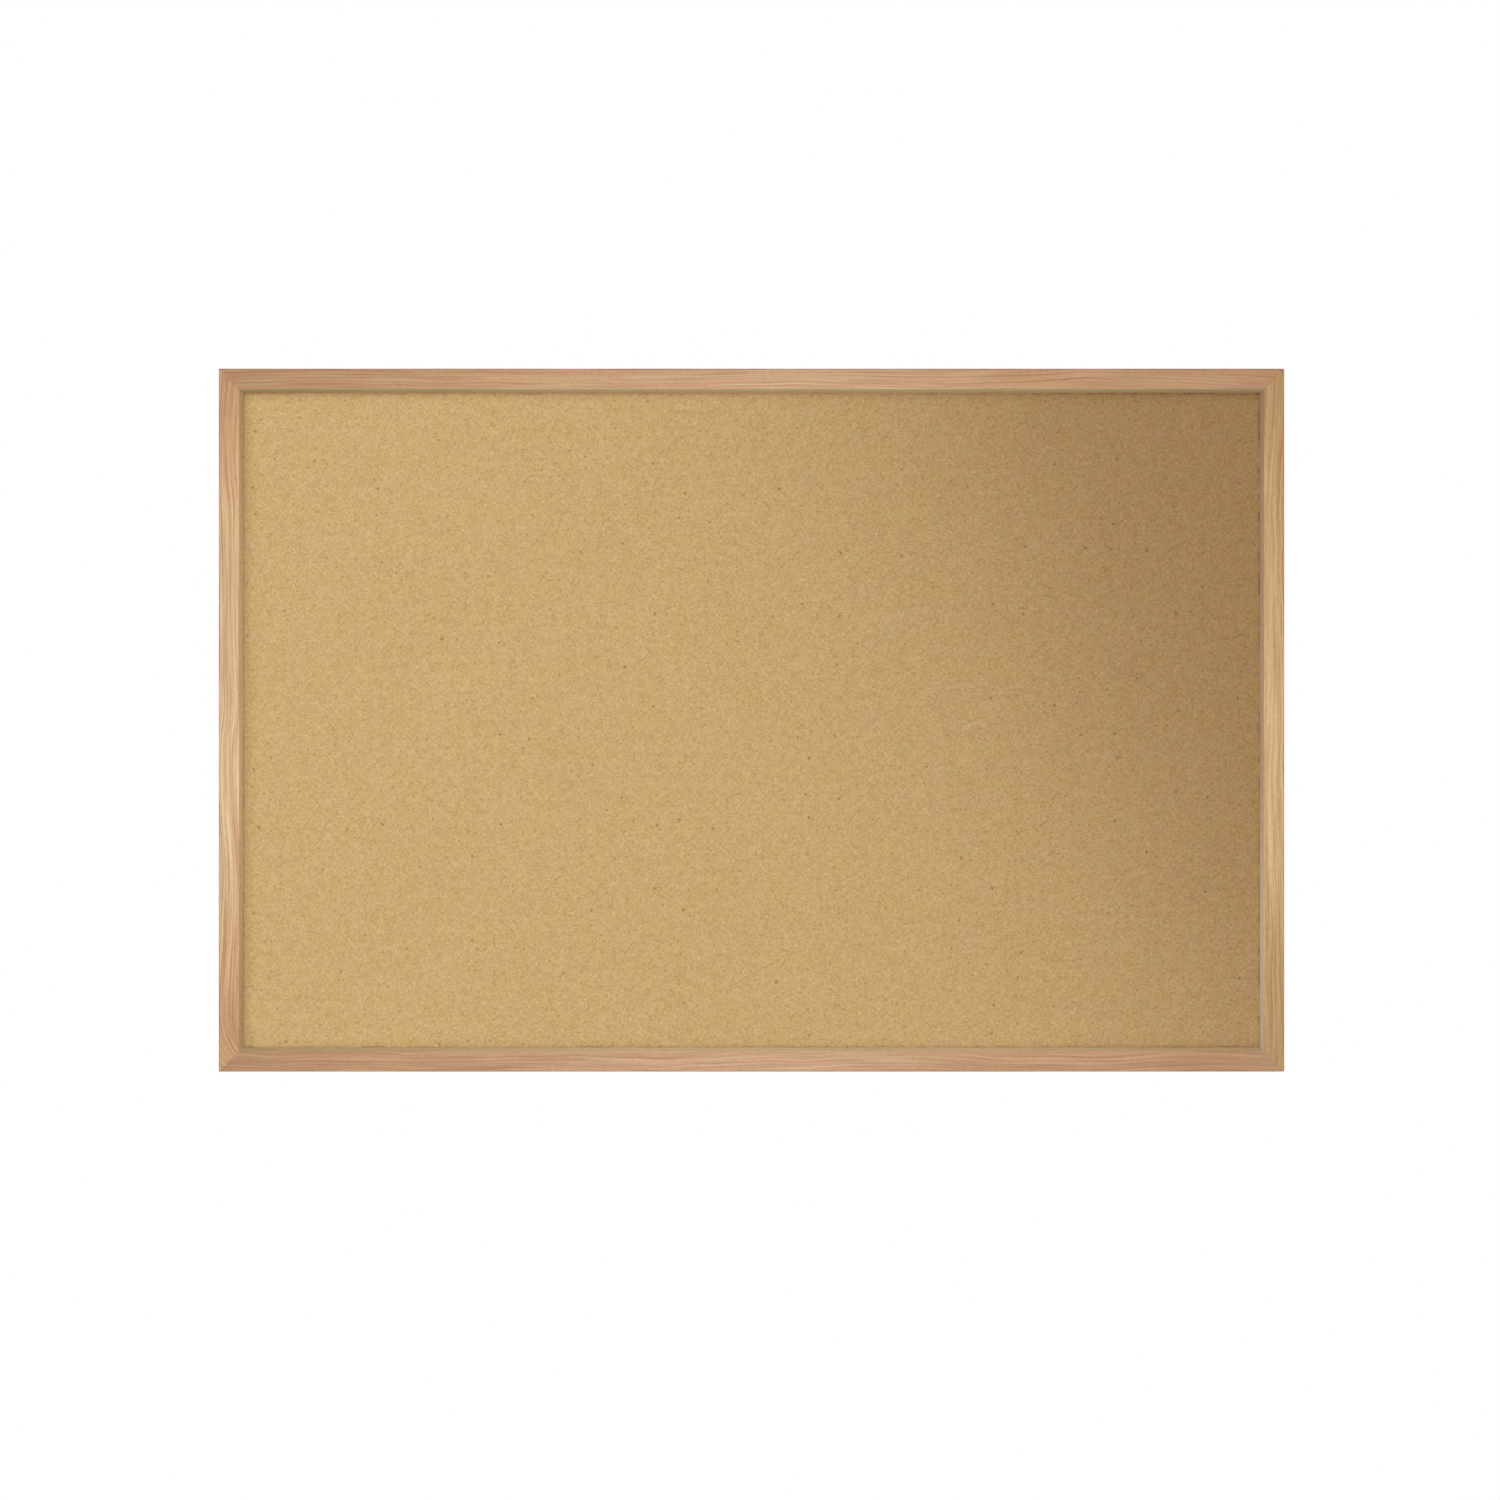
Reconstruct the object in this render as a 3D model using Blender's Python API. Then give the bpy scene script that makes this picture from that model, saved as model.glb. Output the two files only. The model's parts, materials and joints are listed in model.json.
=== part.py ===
"""A cork bulletin board in a mitred oak frame, with two ring hangers on its back.

Lengths are in metres and +Z is up. +X runs along the board, its cork faces -Y and its wall is at +Y.
The origin is the centre of the whole board's box. Left and right are as seen from the front.
"""

import math

import bmesh
import bpy
from mathutils import Matrix, Vector

# The whole board
BOARD_WIDTH = 0.914
BOARD_HEIGHT = 0.603
FRAME_DEPTH = 0.019
STAND_OFF = 0.0045  # how far the bumpers hold the frame off the wall
GAP = 0.0003  # clearance between pieces that rest on each other

Y_FRONT = -(FRAME_DEPTH + STAND_OFF) / 2
Y_BACK = Y_FRONT + FRAME_DEPTH
Y_WALL = Y_BACK + STAND_OFF

# The oak moulding. Across runs in from the board's outer edge, and depth runs back from its front.
FACE_WIDTH = 0.0171
BEVEL_WIDTH = 0.0034
BEVEL_DEPTH = 0.0034
LIP_DEPTH = 0.0060
RABBET_ACROSS = 0.0145
FRONT_ARRIS = 0.0012
BACK_ARRIS = 0.0005
MOULDING_WIDTH = FACE_WIDTH + BEVEL_WIDTH

# The panel, a stack of three sheets that lies in the rabbet, each behind the one before
SHEET_EDGE = RABBET_ACROSS + 0.0005
CORK_THICKNESS = 0.0030
CORK_RISE = 0.0005  # how far the cork inside the frame stands out past its clamped margin
CORE_THICKNESS = 0.0060
BACKING_THICKNESS = 0.0008
CORK_DEPTH = LIP_DEPTH + GAP
CORE_DEPTH = CORK_DEPTH + CORK_THICKNESS + GAP
BACKING_DEPTH = CORE_DEPTH + CORE_THICKNESS + GAP
PANEL_DEPTH = BACKING_DEPTH + BACKING_THICKNESS

# V-nails, driven into the back of each corner across the mitre
NAIL_THICKNESS = 0.0005
NAIL_LEG = 0.0050
NAIL_CURL = 0.0008
NAIL_HEIGHT = 0.0090
NAIL_SUNK = 0.0005
NAIL_ACROSS = {"outer": 0.0042, "inner": 0.0092}

# Retainer points, flat steel tabs pushed into the rabbet's wall behind the panel
POINT_THICKNESS = 0.0005
POINT_WIDTH = 0.0065
POINT_LENGTH = 0.0160
POINT_TIP = 0.0035
POINT_IN_WOOD = 0.0055
POINT_DEPTH = PANEL_DEPTH + GAP
RAIL_POINTS = (-0.330, -0.110, 0.110, 0.330)
STILE_POINTS = (-0.165, 0.0, 0.165)

# Ring hangers: a folded strap, the ring that turns in its knuckle, and the screw through its pad
HANGER_ACROSS = 0.0085
HANGER_DROP = 0.0950  # from the board's top edge down to the ring's hinge
WIRE_RADIUS = 0.0010
STRAP_THICKNESS = 0.0006
STRAP_WIDTH = 0.0095
STRAP_SEAM = 0.00015
SCREW_DROP = 0.0125  # from the ring's hinge down to the screw
KNUCKLE_INNER = WIRE_RADIUS + GAP
KNUCKLE_MIDDLE = KNUCKLE_INNER + STRAP_THICKNESS / 2
HINGE_BEHIND = GAP + STRAP_THICKNESS + KNUCKLE_INNER
Y_HINGE = Y_BACK + HINGE_BEHIND
Z_HINGE = BOARD_HEIGHT / 2 - HANGER_DROP
X_HANGER = BOARD_WIDTH / 2 - HANGER_ACROSS
Z_SCREW = Z_HINGE - SCREW_DROP
RING_HALF_WIDTH = 0.0070
RING_CORNER = 0.0020
RING_LEG = 0.0040
RING_LEAN = math.asin((HINGE_BEHIND - WIRE_RADIUS - GAP) / (RING_LEG + RING_HALF_WIDTH))

HEAD_RADIUS = 0.0030
HEAD_HEIGHT = 0.0018
SHANK_RADIUS = 0.00145
THREAD_ROOT = 0.00105
THREAD_PITCH = 0.0011
THREAD_TURNS = 8
SCREW_TIP = 0.0026
PAD_THICKNESS = 2 * STRAP_THICKNESS + STRAP_SEAM
Y_HEAD_SEAT = Y_BACK + GAP + PAD_THICKNESS + GAP
PILOT_DEPTH = 0.0125

# Bumpers, stuck on the back at the bottom corners
BUMPER_RADIUS = 0.0055
BUMPER_ROUND = 0.0010
BUMPER_FROM_SIDE = 0.0280

# Colour (linear), roughness and metallic value of each material
FINISHES = {
    "oak": ((0.578, 0.347, 0.192), 0.45, 0.0),
    "cork": ((0.597, 0.392, 0.181), 0.90, 0.0),
    "fiberboard": ((0.300, 0.205, 0.120), 0.90, 0.0),
    "kraft_backing": ((0.420, 0.290, 0.170), 0.85, 0.0),
    "bright_steel": ((0.560, 0.570, 0.580), 0.30, 1.0),
    "zinc_plate": ((0.680, 0.680, 0.660), 0.28, 1.0),
    "rubber": ((0.045, 0.045, 0.048), 0.75, 0.0),
}

# Each side of the frame: the turn about Y that takes the top rail to it, its length, the distance of
# its outer edge from the board's centre, and where its retainer points are along it
SIDES = {
    "top_rail": (0.0, BOARD_WIDTH, BOARD_HEIGHT / 2, RAIL_POINTS),
    "right_stile": (math.pi / 2, BOARD_HEIGHT, BOARD_WIDTH / 2, STILE_POINTS),
    "bottom_rail": (math.pi, BOARD_WIDTH, BOARD_HEIGHT / 2, RAIL_POINTS),
    "left_stile": (3 * math.pi / 2, BOARD_HEIGHT, BOARD_WIDTH / 2, STILE_POINTS),
}

# Each corner: the turn about Y that takes the top right corner to it, and its signs in X and Z
CORNERS = {
    "top_right": (0.0, 1, 1),
    "bottom_right": (math.pi / 2, 1, -1),
    "bottom_left": (math.pi, -1, -1),
    "top_left": (3 * math.pi / 2, -1, 1),
}

# +1 and -1 are the signs of X
ENDS = {"left": -1, "right": 1}


def clear_scene():
    for obj in list(bpy.data.objects):
        bpy.data.objects.remove(obj, do_unlink=True)


def make_materials():
    """One Principled material for each finish, by name."""
    made = {}
    for name, (colour, roughness, metallic) in FINISHES.items():
        material = bpy.data.materials.new(name)
        material.use_nodes = True
        shader = material.node_tree.nodes["Principled BSDF"]
        shader.inputs["Base Color"].default_value = (*colour, 1.0)
        shader.inputs["Roughness"].default_value = roughness
        shader.inputs["Metallic"].default_value = metallic
        material.diffuse_color = (*colour, 1.0)
        made[name] = material
    return made


def mesh_from(name, bm, smooth_below=None):
    """A mesh data block from bm, with its faces pointing out."""
    bmesh.ops.recalc_face_normals(bm, faces=bm.faces)
    mesh = bpy.data.meshes.new(name)
    bm.to_mesh(mesh)
    bm.free()
    if smooth_below is not None:
        mesh.shade_smooth()
        mesh.set_sharp_from_angle(angle=smooth_below)
    return mesh


def add_object(name, data, material=None, location=(0, 0, 0), rotation=(0, 0, 0)):
    obj = bpy.data.objects.new(name, data)
    obj.location = location
    obj.rotation_euler = rotation
    if material:
        obj.data.materials.clear()
        obj.data.materials.append(material)
    bpy.context.scene.collection.objects.link(obj)
    return obj


def add_cutter(name, mesh, location=(0, 0, 0), rotation=(0, 0, 0)):
    """A guide for Boolean modifiers, which isn't a piece of the board."""
    cutter = add_object(name, mesh, None, location, rotation)
    cutter.hide_render = True
    cutter.display_type = "WIRE"
    return cutter


def add_boolean(obj, cutter, operation):
    modifier = obj.modifiers.new(cutter.name, "BOOLEAN")
    modifier.operation = operation
    modifier.object = cutter
    modifier.solver = "EXACT"


def arc(centre, radius, start, end, steps):
    """Points of an arc, its two ends included. Angles are in degrees."""
    points = []
    for i in range(steps + 1):
        angle = math.radians(start + (end - start) * i / steps)
        points.append((centre[0] + radius * math.cos(angle), centre[1] + radius * math.sin(angle)))
    return points


def ribbon(path, thickness):
    """The outline of a strip of even thickness whose middle follows the path."""
    path = [Vector(point) for point in path]
    left, right = [], []
    for i, here in enumerate(path):
        steps = []
        if i > 0:
            steps.append((here - path[i - 1]).normalized())
        if i < len(path) - 1:
            steps.append((path[i + 1] - here).normalized())
        mean = sum(steps, Vector((0, 0))).normalized()
        offset = Vector((-mean.y, mean.x)) * (thickness / 2 / mean.dot(steps[0]))
        left.append(here + offset)
        right.append(here - offset)
    return left + right[::-1]


def add_prism(bm, outline, height, place=None):
    """Adds a closed prism to bm: an outline in the XY plane run up Z by height, moved by place."""
    place = place or Matrix()
    base = [bm.verts.new(place @ Vector((x, y, 0))) for x, y in outline]
    top = [bm.verts.new(place @ Vector((x, y, height))) for x, y in outline]
    bm.faces.new(base[::-1])
    bm.faces.new(top)
    for i in range(len(outline)):
        j = (i + 1) % len(outline)
        bm.faces.new((base[i], base[j], top[j], top[i]))


def add_turned(bm, profile, segments):
    """Adds a turned solid about Z: the profile's (radius, height) points start and end on the axis."""
    rings = []
    for radius, height in profile:
        count = segments if radius > 0 else 1
        ring = []
        for i in range(count):
            angle = 2 * math.pi * i / segments
            ring.append(bm.verts.new((radius * math.cos(angle), radius * math.sin(angle), height)))
        rings.append(ring)
    for upper, lower in zip(rings, rings[1:]):
        for i in range(segments):
            j = (i + 1) % segments
            corners = [upper[i % len(upper)], upper[j % len(upper)]]
            corners += [lower[j % len(lower)], lower[i % len(lower)]]
            bm.faces.new(list(dict.fromkeys(corners)))


def side_place(turn, along, y, out):
    """Where a point beside the top rail goes on the side of the frame that the turn gives."""
    return Matrix.Rotation(turn, 4, "Y") @ Matrix.Translation((along, y, out))


# The frame


def moulding_outline():
    """The moulding's section, as (across, depth) points."""
    front = arc((FRONT_ARRIS, FRONT_ARRIS), FRONT_ARRIS, 180, 270, 5)
    lip = [
        (FACE_WIDTH, 0.0),
        (MOULDING_WIDTH, BEVEL_DEPTH),
        (MOULDING_WIDTH, LIP_DEPTH),
        (RABBET_ACROSS, LIP_DEPTH),
        (RABBET_ACROSS, FRAME_DEPTH),
    ]
    back = arc((BACK_ARRIS, FRAME_DEPTH - BACK_ARRIS), BACK_ARRIS, 90, 180, 3)
    return front + lip + back


def side_mesh(name, length):
    """The moulding run along X with both ends mitred, its outer front edge on the X axis."""
    outline = moulding_outline()
    half = length / 2 - GAP / 2 * math.sqrt(2)
    bm = bmesh.new()
    left = [bm.verts.new((across - half, depth, -across)) for across, depth in outline]
    right = [bm.verts.new((half - across, depth, -across)) for across, depth in outline]
    bm.faces.new(left)
    bm.faces.new(right[::-1])
    for i in range(len(outline)):
        j = (i + 1) % len(outline)
        bm.faces.new((left[i], left[j], right[j], right[i]))
    return mesh_from(name, bm, smooth_below=math.radians(30))


def fixing_cutter():
    """The slots for V-nails and retainer points and the screws' pilot holes, as one guide."""
    bm = bmesh.new()
    slot = ribbon(nail_path(GAP), NAIL_THICKNESS + 2 * GAP)
    slot_height = NAIL_HEIGHT + NAIL_SUNK + GAP
    open_end = 0.001  # how far a guide stands out of the wood
    for turn, sign_x, sign_z in CORNERS.values():
        for across in NAIL_ACROSS.values():
            x = sign_x * (BOARD_WIDTH / 2 - across)
            z = sign_z * (BOARD_HEIGHT / 2 - across)
            place = Matrix.Translation((x, Y_BACK + open_end, z))
            place = place @ Matrix.Rotation(turn, 4, "Y") @ Matrix.Rotation(math.pi / 2, 4, "X")
            add_prism(bm, slot, slot_height + open_end, place)
    half_width = POINT_WIDTH / 2 + GAP
    wall = RABBET_ACROSS - POINT_IN_WOOD - GAP
    tab = [
        (-half_width, -RABBET_ACROSS - open_end),
        (half_width, -RABBET_ACROSS - open_end),
        (half_width, -wall),
        (-half_width, -wall),
    ]
    for turn, _, reach, points in SIDES.values():
        for along in points:
            place = side_place(turn, along, Y_FRONT + POINT_DEPTH + POINT_THICKNESS + GAP, reach)
            place = place @ Matrix.Rotation(math.pi / 2, 4, "X")
            add_prism(bm, tab, POINT_THICKNESS + 2 * GAP, place)
    hole = arc((0, 0), SHANK_RADIUS + GAP, 0, 360, 20)[:-1]
    for sign in ENDS.values():
        place = Matrix.Translation((sign * X_HANGER, Y_BACK + open_end, Z_SCREW))
        place = place @ Matrix.Rotation(math.pi / 2, 4, "X")
        add_prism(bm, hole, PILOT_DEPTH + open_end, place)
    return add_cutter("fixing_cutter", mesh_from("fixing_cutter", bm))


def add_frame(materials):
    """The two rails and the two stiles, each cut for what is driven into it."""
    cutter = fixing_cutter()
    for name, (turn, length, reach, _) in SIDES.items():
        place = side_place(turn, 0, Y_FRONT, reach)
        mesh = side_mesh(name, length)
        side = add_object(name, mesh, materials["oak"], place.to_translation(), (0, turn, 0))
        add_boolean(side, cutter, "DIFFERENCE")


# The panel


def sheet_bmesh(thickness):
    """A sheet that fills the rabbet, its front face at Y = 0."""
    bm = bmesh.new()
    size = (BOARD_WIDTH - 2 * SHEET_EDGE, thickness, BOARD_HEIGHT - 2 * SHEET_EDGE)
    place = Matrix.Translation((0, thickness / 2, 0)) @ Matrix.Diagonal((*size, 1))
    bmesh.ops.create_cube(bm, size=1, matrix=place)
    return bm


def add_cork(materials):
    """The cork, whose clamped margin lies lower than the part that shows inside the frame."""
    bm = sheet_bmesh(CORK_THICKNESS)
    bm.normal_update()
    front = next(face for face in bm.faces if face.normal.y < -0.5)
    margin = MOULDING_WIDTH + GAP - SHEET_EDGE
    bmesh.ops.inset_individual(bm, faces=[front], thickness=margin, use_even_offset=True)
    raised = bmesh.ops.extrude_face_region(bm, geom=[front])
    moved = [item for item in raised["geom"] if isinstance(item, bmesh.types.BMVert)]
    bmesh.ops.translate(bm, verts=moved, vec=(0, -CORK_RISE, 0))
    if front.is_valid:
        bm.faces.remove(front)
    mesh = mesh_from("cork_sheet", bm)
    add_object("cork_sheet", mesh, materials["cork"], (0, Y_FRONT + CORK_DEPTH, 0))


def add_panel(materials):
    add_cork(materials)
    core = mesh_from("fiberboard_core", sheet_bmesh(CORE_THICKNESS))
    add_object("fiberboard_core", core, materials["fiberboard"], (0, Y_FRONT + CORE_DEPTH, 0))
    backing = mesh_from("backing_sheet", sheet_bmesh(BACKING_THICKNESS))
    place = (0, Y_FRONT + BACKING_DEPTH, 0)
    add_object("backing_sheet", backing, materials["kraft_backing"], place)


# What holds the frame and the panel together


def nail_path(extra=0.0):
    """A V-nail's middle line: two legs from the mitre, their ends curled, each longer by extra."""
    straight = NAIL_LEG - NAIL_CURL
    end = NAIL_LEG + extra
    curl = NAIL_CURL + extra
    return [(-end, -curl), (-straight, 0), (0, 0), (0, -straight), (-curl, -end)]


def add_v_nails(materials):
    """Two V-nails in each corner, their points on the mitre."""
    bm = bmesh.new()
    place = Matrix.Rotation(math.pi / 2, 4, "X")
    add_prism(bm, ribbon(nail_path(), NAIL_THICKNESS), NAIL_HEIGHT, place)
    mesh = mesh_from("v_nail", bm)
    for corner, (turn, sign_x, sign_z) in CORNERS.items():
        for row, across in NAIL_ACROSS.items():
            x = sign_x * (BOARD_WIDTH / 2 - across)
            z = sign_z * (BOARD_HEIGHT / 2 - across)
            place = (x, Y_BACK - NAIL_SUNK, z)
            name = f"v_nail_{corner}_{row}"
            add_object(name, mesh, materials["bright_steel"], place, (0, turn, 0))


def add_retainer_points(materials):
    """The tabs behind the panel, numbered along each side."""
    half = POINT_WIDTH / 2
    outline = [
        (-half, POINT_IN_WOOD - POINT_LENGTH),
        (half, POINT_IN_WOOD - POINT_LENGTH),
        (half, POINT_IN_WOOD - POINT_TIP),
        (half / 3, POINT_IN_WOOD),
        (-half / 3, POINT_IN_WOOD),
        (-half, POINT_IN_WOOD - POINT_TIP),
    ]
    bm = bmesh.new()
    add_prism(bm, outline, POINT_THICKNESS, Matrix.Rotation(math.pi / 2, 4, "X"))
    mesh = mesh_from("retainer_point", bm)
    for side, (turn, _, reach, points) in SIDES.items():
        for number, along in enumerate(points, 1):
            y = Y_FRONT + POINT_DEPTH + POINT_THICKNESS
            place = side_place(turn, along, y, reach - RABBET_ACROSS).to_translation()
            name = f"retainer_point_{side.split('_')[0]}_{number}"
            add_object(name, mesh, materials["bright_steel"], place, (0, turn, 0))


# The hangers


def strap_path():
    """The folded strap's middle line, as (behind, up) from the ring's hinge."""
    front = -KNUCKLE_MIDDLE
    back = front + STRAP_THICKNESS + STRAP_SEAM
    end = -SCREW_DROP - STRAP_WIDTH
    turn_under = 45
    knuckle = arc((0, 0), KNUCKLE_MIDDLE, 180, -turn_under, 18)
    under = math.radians(turn_under)
    run = (KNUCKLE_MIDDLE * math.cos(under) - back) / math.sin(under)
    bend = -KNUCKLE_MIDDLE * math.sin(under) - run * math.cos(under)
    return [(front, end)] + knuckle + [(back, bend), (back, end)]


def strap_plan():
    """The strap's outline from behind, round about the screw at its lower end."""
    half = STRAP_WIDTH / 2
    top = 2 * KNUCKLE_MIDDLE
    return [(half, top), (-half, top)] + arc((0, -SCREW_DROP), half, 180, 360, 16)


def add_strap(end, x, materials):
    """A folded steel strap, cut to its plan and pierced for its screw."""
    bm = bmesh.new()
    outline = ribbon(strap_path(), STRAP_THICKNESS)
    wide = 1.2 * STRAP_WIDTH
    sideways = Matrix(((0, 0, 1, -wide / 2), (1, 0, 0, 0), (0, 1, 0, 0), (0, 0, 0, 1)))
    add_prism(bm, outline, wide, sideways)
    mesh = mesh_from(f"hanger_strap_{end}", bm, smooth_below=math.radians(30))
    hinge = (x, Y_HINGE, Z_HINGE)
    strap = add_object(f"hanger_strap_{end}", mesh, materials["zinc_plate"], hinge)

    through = 0.010
    upright = Matrix.Translation((0, through / 2, 0)) @ Matrix.Rotation(math.pi / 2, 4, "X")
    bm = bmesh.new()
    add_prism(bm, strap_plan(), through, upright)
    plan = add_cutter(f"strap_plan_{end}", mesh_from("strap_plan", bm), hinge)
    add_boolean(strap, plan, "INTERSECT")
    bm = bmesh.new()
    hole = arc((0, -SCREW_DROP), SHANK_RADIUS + GAP, 0, 360, 20)[:-1]
    add_prism(bm, hole, through, upright)
    pierce = add_cutter(f"strap_hole_{end}", mesh_from("strap_hole", bm), hinge)
    add_boolean(strap, pierce, "DIFFERENCE")


def ring_path():
    """The ring's closed middle line, as (along, up) from its hinge, which lies on the straight bar."""
    inset = RING_HALF_WIDTH - RING_CORNER
    right = arc((inset, RING_CORNER), RING_CORNER, -90, 0, 5)
    bow = arc((0, RING_LEG), RING_HALF_WIDTH, 0, 180, 20)
    left = arc((-inset, RING_CORNER), RING_CORNER, 180, 270, 5)
    return right + bow + left


def add_ring(end, x, materials):
    """A wire ring whose origin is on its hinge, folded up against the frame."""
    curve = bpy.data.curves.new(f"hanger_ring_{end}", "CURVE")
    curve.dimensions = "3D"
    curve.bevel_depth = WIRE_RADIUS
    curve.bevel_resolution = 3
    points = ring_path()
    spline = curve.splines.new("POLY")
    spline.points.add(len(points) - 1)
    for point, (along, up) in zip(spline.points, points):
        point.co = (along, 0, up, 1)
    spline.use_cyclic_u = True
    spline.use_smooth = True
    place = (x, Y_HINGE, Z_HINGE)
    add_object(f"hanger_ring_{end}", curve, materials["zinc_plate"], place, (RING_LEAN, 0, 0))


def screw_profile():
    """A pan-head screw's (radius, height) points from its crown to its tip, its seat at height 0."""
    crown = 0.0007
    profile = [(0.0, HEAD_HEIGHT), (0.55 * HEAD_RADIUS, HEAD_HEIGHT - 0.15 * crown)]
    profile += [(0.85 * HEAD_RADIUS, HEAD_HEIGHT - 0.5 * crown), (HEAD_RADIUS, HEAD_HEIGHT - 1.4 * crown)]
    profile += [(HEAD_RADIUS, 0.0), (SHANK_RADIUS, 0.0)]
    height = -0.0020
    for _ in range(THREAD_TURNS):
        profile += [(SHANK_RADIUS, height), (THREAD_ROOT, height - THREAD_PITCH / 2)]
        height -= THREAD_PITCH
    profile.append((0.0, height - SCREW_TIP / 2))
    return profile


def cross_outline(reach, half_width):
    """A plus sign's outline."""
    quarter = [(reach, -half_width), (reach, half_width), (half_width, half_width)]
    outline = []
    for turn in range(4):
        spin = Matrix.Rotation(turn * math.pi / 2, 2)
        outline += [tuple(spin @ Vector(point)) for point in quarter]
    return outline


def add_screw(end, x, materials):
    """The screw that holds a strap, with a cross recess in its head."""
    bm = bmesh.new()
    add_turned(bm, screw_profile(), 24)
    mesh = mesh_from(f"hanger_screw_{end}", bm, smooth_below=math.radians(35))
    place = (x, Y_HEAD_SEAT, Z_SCREW)
    facing = (-math.pi / 2, 0, 0)
    screw = add_object(f"hanger_screw_{end}", mesh, materials["zinc_plate"], place, facing)
    bm = bmesh.new()
    recess_floor = 0.0007
    add_prism(bm, cross_outline(0.0017, 0.00038), 0.003, Matrix.Translation((0, 0, recess_floor)))
    recess = add_cutter(f"screw_recess_{end}", mesh_from("screw_recess", bm), place, facing)
    add_boolean(screw, recess, "DIFFERENCE")


def add_hangers(materials):
    for end, sign in ENDS.items():
        add_strap(end, sign * X_HANGER, materials)
        add_ring(end, sign * X_HANGER, materials)
        add_screw(end, sign * X_HANGER, materials)


def add_bumpers(materials):
    """Rubber discs that touch the wall, on the back of the bottom rail near its ends."""
    height = STAND_OFF - GAP
    rim = arc((BUMPER_RADIUS - BUMPER_ROUND, height - BUMPER_ROUND), BUMPER_ROUND, 90, 0, 4)
    profile = [(0.0, height)] + rim + [(BUMPER_RADIUS, 0.0), (0.0, 0.0)]
    bm = bmesh.new()
    add_turned(bm, profile, 32)
    mesh = mesh_from("bumper", bm, smooth_below=math.radians(35))
    for end, sign in ENDS.items():
        x = sign * (BOARD_WIDTH / 2 - BUMPER_FROM_SIDE)
        z = RABBET_ACROSS / 2 - BOARD_HEIGHT / 2
        place = (x, Y_BACK + GAP, z)
        add_object(f"bumper_{end}", mesh, materials["rubber"], place, (-math.pi / 2, 0, 0))


def build_board():
    clear_scene()
    materials = make_materials()
    add_frame(materials)
    add_panel(materials)
    add_v_nails(materials)
    add_retainer_points(materials)
    add_hangers(materials)
    add_bumpers(materials)


build_board()
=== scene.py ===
"""The looks of a framed cork bulletin board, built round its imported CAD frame.

Lengths are in metres. +X runs along the board, its cork faces -Y, its wall is at +Y and +Z is up.
"""

import json
import math

import bmesh
import bpy
import numpy as np
from mathutils import Matrix, Vector


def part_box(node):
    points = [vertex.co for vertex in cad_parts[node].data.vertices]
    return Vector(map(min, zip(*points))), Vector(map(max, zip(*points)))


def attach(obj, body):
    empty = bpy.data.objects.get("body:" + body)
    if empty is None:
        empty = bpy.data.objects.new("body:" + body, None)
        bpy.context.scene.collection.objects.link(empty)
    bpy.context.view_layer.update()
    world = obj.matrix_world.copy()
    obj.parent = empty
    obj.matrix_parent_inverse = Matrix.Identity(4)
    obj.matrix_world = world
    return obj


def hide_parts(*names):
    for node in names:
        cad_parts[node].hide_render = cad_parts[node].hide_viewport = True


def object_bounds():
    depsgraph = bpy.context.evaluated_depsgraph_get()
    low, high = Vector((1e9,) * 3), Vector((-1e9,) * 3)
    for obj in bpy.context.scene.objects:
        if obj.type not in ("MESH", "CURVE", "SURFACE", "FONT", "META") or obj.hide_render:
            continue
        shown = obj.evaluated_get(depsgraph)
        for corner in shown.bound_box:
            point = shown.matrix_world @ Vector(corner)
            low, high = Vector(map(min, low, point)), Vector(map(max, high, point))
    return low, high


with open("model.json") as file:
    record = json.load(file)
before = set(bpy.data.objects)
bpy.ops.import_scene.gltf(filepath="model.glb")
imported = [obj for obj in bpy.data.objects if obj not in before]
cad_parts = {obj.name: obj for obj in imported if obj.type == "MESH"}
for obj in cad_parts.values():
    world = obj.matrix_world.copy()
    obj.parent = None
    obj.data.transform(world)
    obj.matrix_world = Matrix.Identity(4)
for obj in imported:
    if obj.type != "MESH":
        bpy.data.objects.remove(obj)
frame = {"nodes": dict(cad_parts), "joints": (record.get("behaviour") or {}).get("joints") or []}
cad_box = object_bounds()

MM = 0.001

# The board's measures, from its CAD frame
HALF_WIDTH = cad_box[1].x
HALF_HEIGHT = cad_box[1].z
Y_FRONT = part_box("top_rail")[0].y
Y_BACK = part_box("top_rail")[1].y
DEPTH = Y_BACK - Y_FRONT

# The oak moulding. Across runs in from the board's outer edge, and depth runs back from its front.
FACE_WIDTH = 17.1 * MM
BEVEL_WIDTH = 3.4 * MM
BEVEL_DEPTH = 3.4 * MM
LIP_DEPTH = 6.0 * MM
RABBET_ACROSS = 14.5 * MM
FRONT_ARRIS = 1.2 * MM
BACK_ARRIS = 0.5 * MM
INNER_ARRIS = 0.35 * MM
MOULDING_WIDTH = FACE_WIDTH + BEVEL_WIDTH
MITRE_GAP = 0.08 * MM
RAIL_STEP = 7 * MM  # length of one piece of the moulding's mesh
SANDING = 0.04 * MM  # the sanded edges wander by this much, and lie this far in on average
CORNER_ROUNDING = 0.6 * MM
KNOCKED_CORNER = 2.2 * MM  # the lower right corner, worn rounder than the rest

CORK_STEP = 2.4 * MM  # size of one square of the cork's mesh
CORK_LIFT = 0.10 * MM  # how far the cork's surface wanders
CORK_ROLL = 0.05 * MM  # the width over which the cork's face steps down under the frame's lip

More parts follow.
